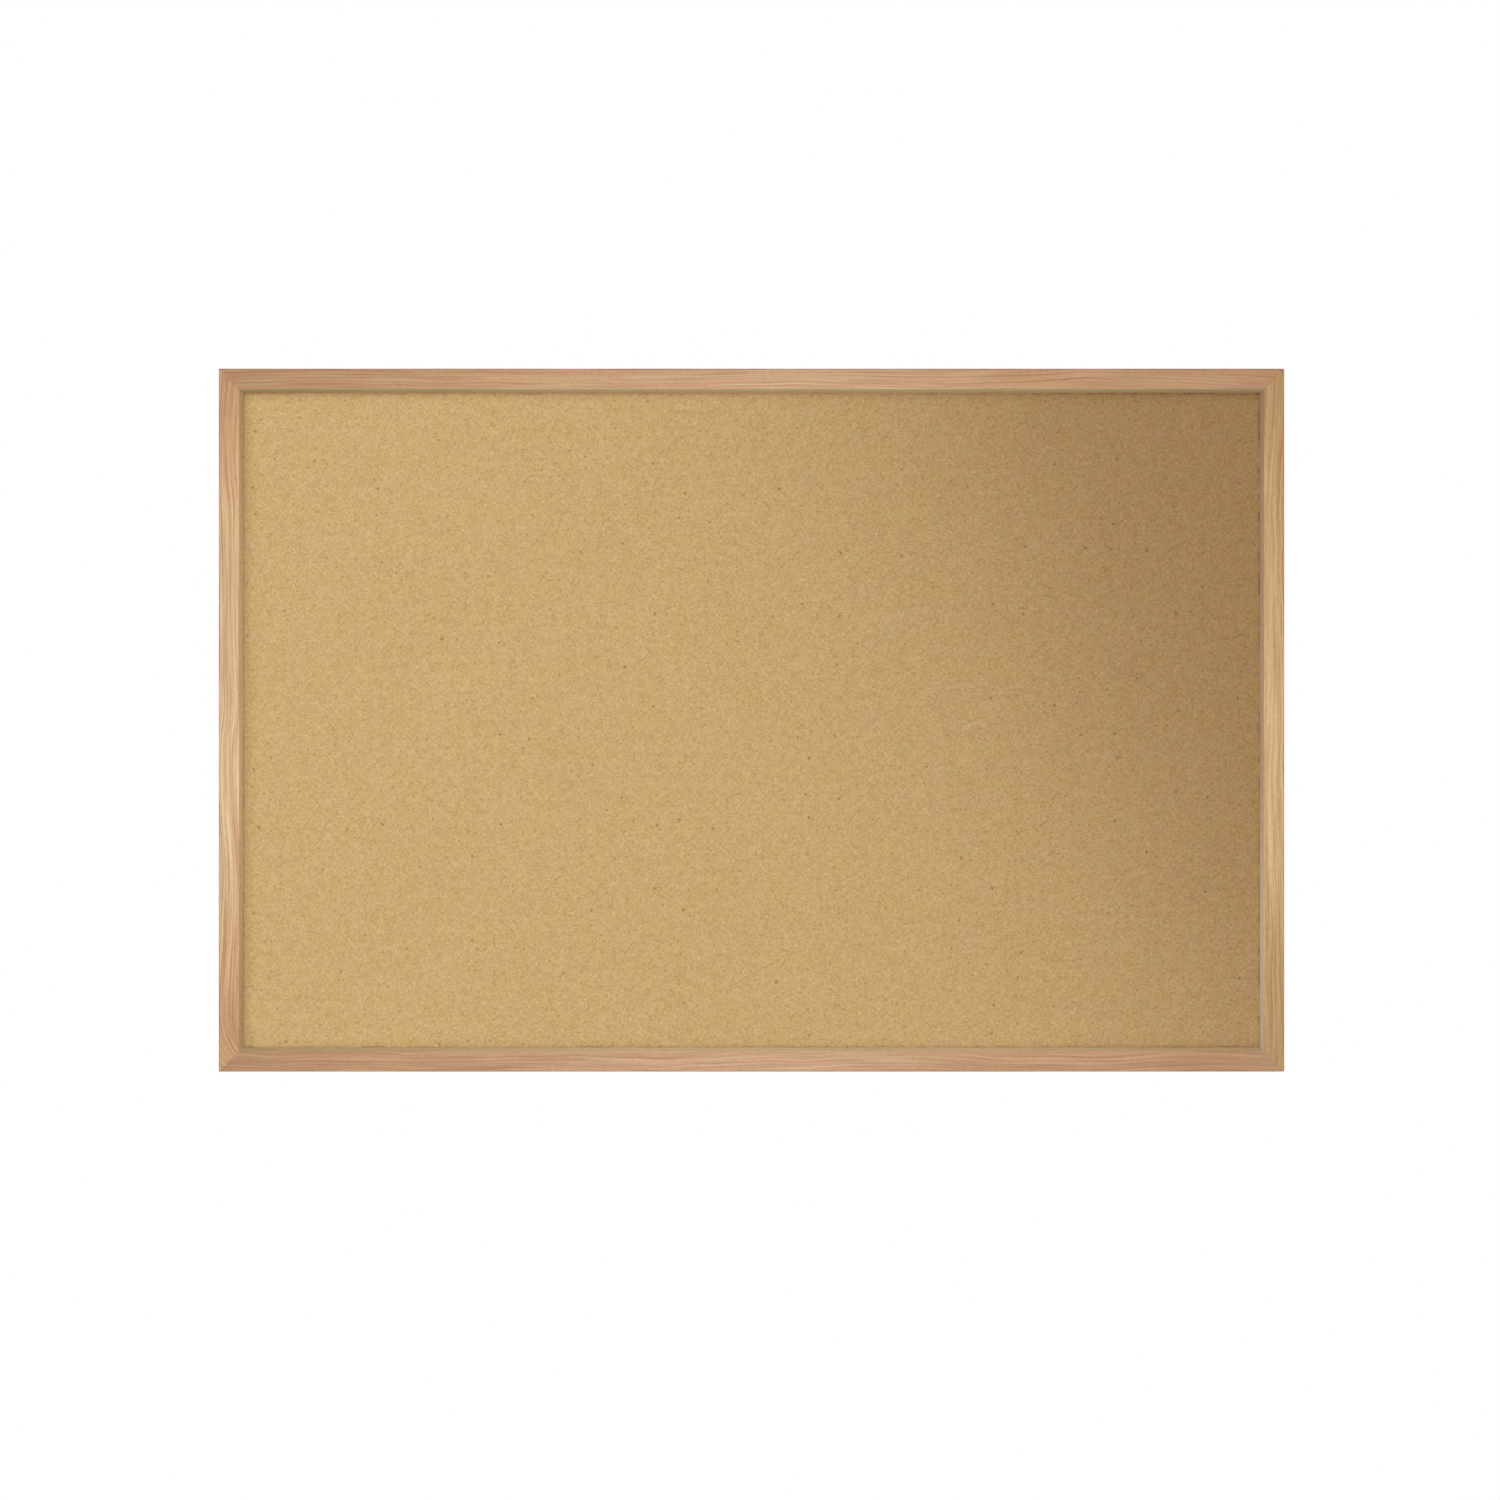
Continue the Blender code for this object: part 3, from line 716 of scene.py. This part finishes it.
def skin(bm, rings, closed=True, caps=True):
    """Joins rows of vertices into a surface, each row a closed loop if closed, with flat end caps."""
    for first, second in zip(rings, rings[1:]):
        count = len(first)
        for i in range(count if closed else count - 1):
            j = (i + 1) % count
            bm.faces.new((first[i], first[j], second[j], second[i]))
    if caps:
        bm.faces.new(rings[0][::-1])
        bm.faces.new(rings[-1])


def turned(bm, profile, segments):
    """A turned solid about Z from (radius, height) points that start and end on the axis."""
    rings = []
    for radius, height in profile:
        count = segments if radius > 0 else 1
        ring = []
        for i in range(count):
            angle = 2 * math.pi * i / segments
            ring.append(bm.verts.new((radius * math.cos(angle), radius * math.sin(angle), height)))
        rings.append(ring)
    for upper, lower in zip(rings, rings[1:]):
        for i in range(segments):
            j = (i + 1) % segments
            corners = [upper[i % len(upper)], upper[j % len(upper)]]
            corners += [lower[j % len(lower)], lower[i % len(lower)]]
            bm.faces.new(list(dict.fromkeys(corners)))


def smooth_field(rng, rows, columns, cell):
    """Random heights between about -1 and 1 that change smoothly over the given number of cells."""
    coarse = rng.uniform(-1, 1, (int(rows / cell) + 3, int(columns / cell) + 3))
    row, column = np.arange(rows) / cell, np.arange(columns) / cell
    i, j = row.astype(int), column.astype(int)
    u, v = row - i, column - j
    u, v = (u * u * (3 - 2 * u))[:, None], (v * v * (3 - 2 * v))[None, :]
    top = coarse[i][:, j] * (1 - v) + coarse[i][:, j + 1] * v
    bottom = coarse[i + 1][:, j] * (1 - v) + coarse[i + 1][:, j + 1] * v
    return top * (1 - u) + bottom * u


def stand_in(piece, node, body="board"):
    """The piece is shown in place of a CAD node and moves with its body."""
    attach(piece, body)
    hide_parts(node)


# The frame


def moulding_section():
    """The moulding's section as (across, depth) points, its edges eased."""
    inner_top = (FACE_WIDTH, 0.0)
    inner_low = (MOULDING_WIDTH, BEVEL_DEPTH)
    lip = (MOULDING_WIDTH, LIP_DEPTH)
    section = arc((FRONT_ARRIS, FRONT_ARRIS), FRONT_ARRIS, 180, 270, 8)
    section += fillet((0, 0), inner_top, inner_low, INNER_ARRIS, 3)
    section += fillet(inner_top, inner_low, lip, INNER_ARRIS, 3)
    section += [lip, (RABBET_ACROSS, LIP_DEPTH), (RABBET_ACROSS, DEPTH)]
    section += arc((BACK_ARRIS, DEPTH - BACK_ARRIS), BACK_ARRIS, 90, 180, 4)
    return section


def side_mesh(name, length, turn, reach, rng):
    """One side of the frame, its ends mitred and its edges a little uneven from sanding."""
    section = moulding_section()
    half = length / 2 - MITRE_GAP / 2 * math.sqrt(2)
    steps = round(length / RAIL_STEP)
    wander = (1 + smooth_field(rng, len(section), steps + 1, 9)) * SANDING
    place = Matrix.Rotation(turn, 4, "Y") @ Matrix.Translation((0, Y_FRONT, reach))
    bm = bmesh.new()
    rows = []
    for j in range(steps + 1):
        share = 2 * j / steps - 1
        row = []
        for i, (across, depth) in enumerate(section):
            eased = across + (wander[i, j] if across < FRONT_ARRIS or across >= FACE_WIDTH else 0)
            row.append(bm.verts.new(place @ Vector((share * (half - across), depth, -eased))))
        rows.append(row)
    skin(bm, rows)
    return mesh_from(name, bm, 28)


def slot_cutter(node, room, open_to=None):
    """A guide a little bigger than a CAD piece. Its back end reaches open_to, if that is given."""
    bm = bmesh.new()
    bm.from_mesh(frame["nodes"][node].data)
    bmesh.ops.remove_doubles(bm, verts=bm.verts, dist=0.001 * MM)
    low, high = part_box(node)
    middle = (low + high) / 2
    bm.normal_update()
    moves = [vert.normal * room * math.sqrt(2) for vert in bm.verts]
    for vert, move in zip(bm.verts, moves):
        back = vert.co.y > middle.y
        vert.co += move
        if open_to is not None and back:
            vert.co.y = open_to
    return add_object(f"slot_{node}", mesh_from(f"slot_{node}", bm, 30))


def rod_cutter(name, centre, radius, length, segments):
    """A round guide that lies along Y."""
    bm = bmesh.new()
    place = Matrix.Translation(centre) @ Matrix.Rotation(math.pi / 2, 4, "X")
    bmesh.ops.create_cone(
        bm, cap_ends=True, segments=segments, radius1=radius, radius2=radius, depth=length, matrix=place
    )
    return add_object(name, mesh_from(name, bm, 30))


def pilot_cutter(end):
    """A guide for the hole that a hanger's screw is driven into."""
    low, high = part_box(f"hanger_screw_{end}")
    middle = (low + high) / 2
    centre = (middle.x, middle.y - 0.2 * MM, middle.z)
    return rod_cutter(f"pilot_{end}", centre, SHANK_RADIUS + 0.05 * MM, high.y - low.y, 32)


def corner_cutter(end, edge):
    """A guide that rounds one of the frame's four outer corners."""
    radius = KNOCKED_CORNER if (end, edge) == ("right", "bottom") else CORNER_ROUNDING
    inner_x, inner_z = HALF_WIDTH - radius, HALF_HEIGHT - radius
    beyond = 3 * MM
    outline = arc((inner_x, inner_z), radius, 0, 90, 10)
    outline += [(inner_x, HALF_HEIGHT + beyond), (HALF_WIDTH + beyond, HALF_HEIGHT + beyond)]
    outline.append((HALF_WIDTH + beyond, inner_z))
    right, up = ENDS[end], EDGES[edge]
    bm = bmesh.new()
    rows = []
    for y in (Y_FRONT - beyond, Y_BACK + beyond):
        rows.append([bm.verts.new((right * x, y, up * z)) for x, z in outline])
    skin(bm, rows)
    return add_object("corner", mesh_from("corner", bm, 30))


def cutters_for(name):
    """The guides for one side of the frame: its two corners and everything driven into it."""
    nodes = frame["nodes"]
    word = name.split("_")[0]
    nails = [node for node in nodes if node.startswith("v_nail") and f"_{word}" in node]
    points = [node for node in nodes if node.startswith(f"retainer_point_{word}")]
    cutters = [slot_cutter(node, 0.06 * MM, Y_BACK + 1 * MM) for node in nails]
    cutters += [slot_cutter(node, 0.06 * MM) for node in points]
    if "stile" in name:
        cutters.append(pilot_cutter(word))
        cutters += [corner_cutter(word, edge) for edge in EDGES]
    else:
        cutters += [corner_cutter(end, word) for end in ENDS]
    return cutters


def add_frame():
    rng = np.random.default_rng(11)
    sides = {}
    for name, degrees in SIDES.items():
        turn = math.radians(degrees)
        length = 2 * (HALF_WIDTH if "rail" in name else HALF_HEIGHT)
        reach = HALF_HEIGHT if "rail" in name else HALF_WIDTH
        mesh = side_mesh(name, length, turn, reach, rng)
        side = add_object(f"oak_{name}", mesh, make_oak(name))
        cut(side, cutters_for(name))
        side.data.set_sharp_from_angle(angle=math.radians(28))
        stand_in(side, name)
        sides[name] = side
    return sides


# The panel


def cork_lines(half, lip):
    """Grid lines from -half to half: close together where the frame's lip presses, even between."""
    inner = lip - CORK_ROLL
    even = np.linspace(-inner, inner, round(2 * inner / CORK_STEP) + 1)
    roll = inner + CORK_ROLL * np.array([0.4, 0.8, 1.0])
    outer = np.append(roll, half)
    return np.concatenate([-outer[::-1], even, outer])


def add_cork():
    """The cork, softly uneven, its edge pressed down where it goes under the frame's lip."""
    low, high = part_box("cork_sheet")
    margin_y = Y_FRONT + LIP_DEPTH + 0.03 * MM
    lip_x, lip_z = HALF_WIDTH - MOULDING_WIDTH, HALF_HEIGHT - MOULDING_WIDTH
    xs, zs = cork_lines(high.x, lip_x), cork_lines(high.z, lip_z)
    rng = np.random.default_rng(5)
    rows, columns = len(zs), len(xs)
    height = sum(
        smooth_field(rng, rows, columns, cell) * share
        for cell, share in ((1.0, 0.35), (2.3, 0.35), (7, 0.3), (30, 0.5))
    )
    away_x = np.clip((lip_x - np.abs(xs)) / CORK_ROLL, 0, 1)[None, :]
    away_z = np.clip((lip_z - np.abs(zs)) / CORK_ROLL, 0, 1)[:, None]
    inside = np.minimum(away_x, away_z)
    inside = inside * (2 - inside)
    y = margin_y + (low.y - margin_y) * inside + CORK_LIFT * height * inside
    bm = bmesh.new()
    grid = [[bm.verts.new((xs[j], y[i, j], zs[i])) for j in range(columns)] for i in range(rows)]
    skin(bm, grid, closed=False, caps=False)
    rim = grid[0][:] + [row[-1] for row in grid[1:]]
    rim += grid[-1][-2::-1] + [row[0] for row in grid[-2:0:-1]]
    back = [bm.verts.new((vert.co.x, high.y, vert.co.z)) for vert in rim]
    skin(bm, [rim, back], caps=False)
    bm.faces.new(back)
    piece = add_object("cork_surface", mesh_from("cork_surface", bm, 50), make_cork())
    stand_in(piece, "cork_sheet")
    return piece


# The hangers


def strap_path():
    """The strap's middle line, as (back, up) from its hinge: up the wood, round the bar and down again."""
    middle = WIRE_RADIUS + STRAP_GAP + STRAP_THICKNESS / 2
    front, back = -middle, -middle + STRAP_THICKNESS + STRAP_SEAM
    under = math.radians(45)
    run = (middle * math.cos(under) - back) / math.sin(under)
    bend = -middle * math.sin(under) - run * math.cos(under)
    round_foot = (86, 78, 68, 56, 42, 28, 14, 0)
    foot = [-SCREW_DROP - STRAP_WIDTH / 2 * math.sin(math.radians(angle)) for angle in round_foot]
    path = [(front, height) for height in foot] + [(front, -3 * MM)]
    path += arc((0, 0), middle, 180, -45, 36)
    path += fillet(path[-1], (back, bend), (back, -SCREW_DROP), 0.8 * MM, 5)
    path += [(back, -6 * MM)] + [(back, height) for height in foot[::-1]]
    return [Vector(point) for point in path]


def strap_mesh(name):
    """A strip of sheet along the strap's path, its foot round about the screw."""
    radius = STRAP_WIDTH / 2
    bm = bmesh.new()
    rows = []
    for here, along in along_path(strap_path()):
        offset = Vector((-along.y, along.x)) * STRAP_THICKNESS / 2
        below = max(0.0, -SCREW_DROP - here.y)
        half = math.sqrt(max(radius**2 - below**2, 0))
        corners = [(-half, here + offset), (half, here + offset)]
        corners += [(half, here - offset), (-half, here - offset)]
        rows.append([bm.verts.new((side, level.x, level.y)) for side, level in corners])
    skin(bm, rows)
    return mesh_from(name, bm, 40)


def add_strap(end, hinge, metal):
    """A steel strap folded round the ring's bar, its edges rounded by the shears."""
    name = f"folded_strap_{end}"
    strap = add_object(name, strap_mesh(name), metal)
    cut(strap, [rod_cutter("strap_hole", (0, 0, -SCREW_DROP), SHANK_RADIUS + 0.2 * MM, 10 * MM, 40)])
    bevel = strap.modifiers.new("sheared_edges", "BEVEL")
    bevel.width = 0.1 * MM
    bevel.segments = 2
    bevel.limit_method = "ANGLE"
    bevel.angle_limit = math.radians(50)
    apply_modifiers(strap)
    strap.data.set_sharp_from_angle(angle=math.radians(40))
    strap.location = hinge
    stand_in(strap, f"hanger_strap_{end}")


def ring_path():
    """The ring's middle line, as (along, up) from its hinge, with the wire's ends in the bar."""
    inset = RING_HALF_WIDTH - RING_CORNER
    path = [(WIRE_END, 0.0), (0.6 * inset, 0.0)]
    path += arc((inset, RING_CORNER), RING_CORNER, -90, 0, 10)
    path += arc((0, RING_LEG), RING_HALF_WIDTH, 0, 180, 56)
    path += arc((-inset, RING_CORNER), RING_CORNER, 180, 270, 10)
    path += [(-0.6 * inset, 0.0), (-WIRE_END, 0.0)]
    return [Vector((along, 0, up)) for along, up in path]


def add_ring(end, hinge, metal):
    """A ring bent from round wire, which swings on its bar."""
    sides = 20
    bm = bmesh.new()
    rows = []
    for here, along in along_path(ring_path()):
        flat = Vector((along.z, 0, -along.x))
        row = []
        for k in range(sides):
            angle = 2 * math.pi * k / sides
            offset = flat * math.cos(angle) + Vector((0, 1, 0)) * math.sin(angle)
            row.append(bm.verts.new(here + offset * WIRE_RADIUS))
        rows.append(row)
    skin(bm, rows)
    name = f"wire_ring_{end}"
    ring = add_object(name, mesh_from(name, bm, 45), metal)
    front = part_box(f"hanger_ring_{end}")[0].y
    lean = math.asin((hinge.y - WIRE_RADIUS - front) / (RING_LEG + RING_HALF_WIDTH))
    ring.location = hinge
    ring.rotation_euler = (lean, 0, 0)
    stand_in(ring, f"hanger_ring_{end}", f"ring_{end}")


def cross_cutter():
    """A guide for a cross recess whose walls slope in to its floor."""
    reach, half, floor, top = 1.75 * MM, 0.40 * MM, 0.55 * MM, 2.2 * MM
    outline = []
    for quarter in range(4):
        spin = Matrix.Rotation(quarter * math.pi / 2, 2)
        for point in ((reach, -half), (reach, half), (half * 1.25, half * 1.25)):
            outline.append(spin @ Vector(point))
    bm = bmesh.new()
    low = [bm.verts.new((point.x * 0.55, point.y * 0.55, floor)) for point in outline]
    high = [bm.verts.new((point.x, point.y, top)) for point in outline]
    skin(bm, [low, high])
    return add_object("cross_recess", mesh_from("cross_recess", bm, 30))


def screw_profile():
    """The screw's outline, as (radius, height) from the top of its head down to its point."""
    profile = []
    for degrees in range(0, 71, 7):
        angle = math.radians(degrees)
        profile.append((HEAD_RADIUS * math.sin(angle), HEAD_HEIGHT - DOME_RISE * (1 - math.cos(angle))))
    profile += arc((HEAD_RADIUS - 0.25 * MM, 0.85 * MM), 0.25 * MM, 20, -10, 3)
    profile += [(HEAD_RADIUS, 0.12 * MM), (HEAD_RADIUS - 0.12 * MM, 0.0), (SHANK_RADIUS, 0.0)]
    height = -THREAD_START
    for _ in range(THREAD_TURNS):
        profile += [(SHANK_RADIUS, height), (THREAD_ROOT, height - THREAD_PITCH / 2)]
        height -= THREAD_PITCH
    profile.append((0.0, height - 1.3 * MM))
    return profile


def add_screw(end, metal):
    """A pan-head screw with a domed head and sharp rolled threads."""
    bm = bmesh.new()
    turned(bm, screw_profile(), 48)
    name = f"pan_screw_{end}"
    screw = add_object(name, mesh_from(name, bm, 35), metal)
    cut(screw, [cross_cutter()])
    screw.data.set_sharp_from_angle(angle=math.radians(35))
    low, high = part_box(f"hanger_screw_{end}")
    screw.location = ((low.x + high.x) / 2, high.y - HEAD_HEIGHT, (low.z + high.z) / 2)
    spin = Matrix.Rotation(math.radians(SCREW_TURN[end]), 4, "Z")
    facing = Matrix.Rotation(-math.pi / 2, 4, "X") @ spin
    screw.rotation_euler = facing.to_euler()
    stand_in(screw, f"hanger_screw_{end}")


def add_hangers():
    metal = make_metal("zinc_plating", (214, 214, 208), (186, 188, 184), 0.27, (2600.0, 2600.0, 260.0))
    joints = {joint["child"]: joint for joint in frame["joints"]}
    for end in ENDS:
        hinge = Vector(joints[f"ring_{end}"]["pos_m"])
        add_strap(end, hinge, metal)
        add_ring(end, hinge, metal)
        add_screw(end, metal)


def add_bumpers():
    """Soft rubber discs with a rounded rim and a slightly hollow face."""
    rubber = make_rubber()
    for end in ENDS:
        low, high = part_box(f"bumper_{end}")
        radius, height = (high.x - low.x) / 2, high.y - low.y
        round_off = 1.0 * MM
        profile = [(0.0, height - 0.12 * MM), (0.35 * radius, height - 0.09 * MM)]
        profile += [(0.62 * radius, height - 0.02 * MM), (0.72 * radius, height)]
        profile += arc((radius - round_off, height - round_off), round_off, 90, 0, 8)
        profile += arc((radius - 0.15 * MM, 0.15 * MM), 0.15 * MM, 0, -90, 3) + [(0.0, 0.0)]
        bm = bmesh.new()
        turned(bm, profile, 64)
        name = f"rubber_bumper_{end}"
        bumper = add_object(name, mesh_from(name, bm, 50), rubber)
        bumper.location = ((low.x + high.x) / 2, low.y, (low.z + high.z) / 2)
        bumper.rotation_euler = (-math.pi / 2, 0, 0)
        stand_in(bumper, f"bumper_{end}")


def finish_cad_pieces():
    """Materials for the CAD pieces that stay as they are."""
    kraft = make_kraft()
    fiberboard = make_fiberboard()
    steel = make_metal("bright_steel", (196, 198, 200), (160, 162, 164), 0.30, (400.0, 3000.0, 3000.0))
    for name, node in frame["nodes"].items():
        if name == "backing_sheet":
            material = kraft
        elif name == "fiberboard_core":
            material = fiberboard
        elif name.startswith(("v_nail", "retainer_point")):
            material = steel
        else:
            continue
        node.data.materials.clear()
        node.data.materials.append(material)


# Studio


def add_light(name, place, aim, power, size, receivers=None, roll=0.0, tint=COOL):
    """A soft rectangular light that the camera doesn't see, on the receivers only, if they are given."""
    data = bpy.data.lights.new(name, "AREA")
    data.shape = "RECTANGLE"
    data.size, data.size_y = size
    data.energy = power
    data.color = tint
    light = bpy.data.objects.new(name, data)
    facing = (Vector(aim) - Vector(place)).to_track_quat("-Z", "Z").to_matrix().to_4x4()
    light.matrix_world = Matrix.Translation(place) @ facing @ Matrix.Rotation(roll, 4, "Z")
    light.visible_camera = False
    bpy.context.scene.collection.objects.link(light)
    if receivers:
        light.light_linking.receiver_collection = receivers
    return light


def link_group(name, objects, state):
    """What a light falls on or is shaded by: only the objects (INCLUDE) or all but them (EXCLUDE)."""
    group = bpy.data.collections.new(name)
    for obj in objects:
        group.objects.link(obj)
    for link in group.collection_objects:
        link.light_linking.link_state = state
    return group


def add_cork_light(cork, sides):
    """A panel close in front of the cork, whose slanted right edge leaves the upper right dimmer.

    A share of it isn't shaded by the sides that throw light back into the cork's corners. A second
    panel rakes over the cork from the upper left, so the frame casts a wide soft shadow.
    """
    slant = math.radians(PANEL_SLANT)
    middle = PANEL_EDGE - PANEL_SIZE[0] / 2
    place = Vector((middle * math.cos(slant), cad_box[0].y - PANEL_DISTANCE, middle * math.sin(slant)))
    ahead = place + Vector((0, 1, 0))
    only_cork = link_group("cork_light_falls_on", [cork], "INCLUDE")
    pale_sides = [sides[name] for name in ("top_rail", "bottom_rail", "left_stile")]
    passes = link_group("cork_fill_passes", pale_sides, "EXCLUDE")
    for name, share in (("cork_panel", 1 - CORK_FILL), ("cork_fill", CORK_FILL)):
        panel = add_light(name, place, ahead, share * CORK_POWER, PANEL_SIZE, only_cork, slant)
        if name == "cork_fill":
            panel.light_linking.blocker_collection = passes
    add_light("raking_panel", (-3.0, -1.5, 2.2), (0, 0, 0), RAKING_POWER, (1.3, 1.3), only_cork)


def add_frame_lights(cork, floor):
    """An even light on the frame, one that reaches its inner edges, and one for each of its stiles."""
    not_cork = link_group("frame_light_falls_on", [cork, floor], "EXCLUDE")
    add_light("frame_panel", (0, -1.3, 0), (0, 0, 0), FRAME_POWER, (2.4, 1.8), not_cork)
    add_light("middle_panel", (0, -0.3, 0), (0, 0, 0), MIDDLE_POWER, (0.5, 0.3), not_cork)
    for name, power in SIDE_POWER.items():
        turn = math.radians(SIDES[name])
        place = Vector((math.sin(turn) * (HALF_WIDTH - 0.05), -0.40, 0))
        add_light(f"light_{name}", place, place + Vector((0, 1, 0)), power, (0.3, 0.3), not_cork)


def add_back_lights(floor):
    """Soft lights behind the board, for its back and its sides."""
    not_floor = link_group("back_light_falls_on", [floor], "EXCLUDE")
    add_light("back_key", (1.4, 2.0, 1.3), (0, 0, 0), BACK_KEY_POWER, (1.1, 1.1), not_floor)
    add_light("back_fill", (-1.8, 1.6, 0.3), (0, 0, 0), BACK_FILL_POWER, (1.2, 1.2), not_floor)


def add_floor_light(floor):
    """Even light straight down, which leaves the floor nearly as white as what is behind it."""
    data = bpy.data.lights.new("floor_light", "SUN")
    data.energy = FLOOR_POWER
    data.color = FLOOR_TINT
    data.angle = math.radians(40)
    light = bpy.data.objects.new("floor_light", data)
    light.light_linking.receiver_collection = link_group("floor_light_falls_on", [floor], "INCLUDE")
    bpy.context.scene.collection.objects.link(light)


def add_lights(cork, floor, sides):
    add_cork_light(cork, sides)
    add_frame_lights(cork, floor)
    add_back_lights(floor)
    add_floor_light(floor)


def add_world():
    """White where the camera sees it, and a softer, warmer light on the board."""
    world = bpy.data.worlds.new("studio")
    bpy.context.scene.world = world
    world.use_nodes = True
    tree = world.node_tree
    background = tree.nodes["Background"]
    seen = tree.nodes.new("ShaderNodeLightPath").outputs["Is Camera Ray"]
    mix = tree.nodes.new("ShaderNodeMix")
    mix.data_type = "RGBA"
    mix.inputs[6].default_value = (*AROUND, 1.0)
    mix.inputs[7].default_value = (1.0, 1.0, 1.0, 1.0)
    tree.links.new(seen, mix.inputs[0])
    tree.links.new(mix.outputs[2], background.inputs["Color"])


def add_floor():
    """A pale floor well below the board."""
    graph = Graph("pale_floor")
    soft = graph.noise(graph.place(), 3.0, detail=3.0)
    tint = graph.mix(soft, colour(246, 245, 243), colour(250, 249, 248))
    material = graph.finish(tint, 0.6)
    bm = bmesh.new()
    spread = Matrix.Diagonal((*FLOOR_HALF_SIZE, 1, 1))
    bmesh.ops.create_grid(bm, x_segments=8, y_segments=8, size=1.0, matrix=spread)
    floor = add_object("floor", mesh_from("floor", bm, 30), material)
    floor.location = FLOOR_PLACE
    floor.visible_diffuse = False  # its bounce would wash out the board's own light
    return floor


def add_camera():
    data = bpy.data.cameras.new("camera")
    data.lens = CAMERA_LENS
    data.sensor_width = CAMERA_SENSOR
    camera = bpy.data.objects.new("camera", data)
    distance = PICTURE_WIDTH * CAMERA_LENS / CAMERA_SENSOR
    camera.location = (CAMERA_SIDE, Y_FRONT - distance, CAMERA_DROP)
    camera.rotation_euler = (math.pi / 2, 0, 0)
    bpy.context.scene.collection.objects.link(camera)
    bpy.context.scene.camera = camera


def build_scene():
    bpy.context.scene.view_settings.view_transform = "Standard"
    add_camera()
    sides = add_frame()
    cork = add_cork()
    add_hangers()
    add_bumpers()
    finish_cad_pieces()
    add_world()
    floor = add_floor()
    add_lights(cork, floor, sides)


build_scene()
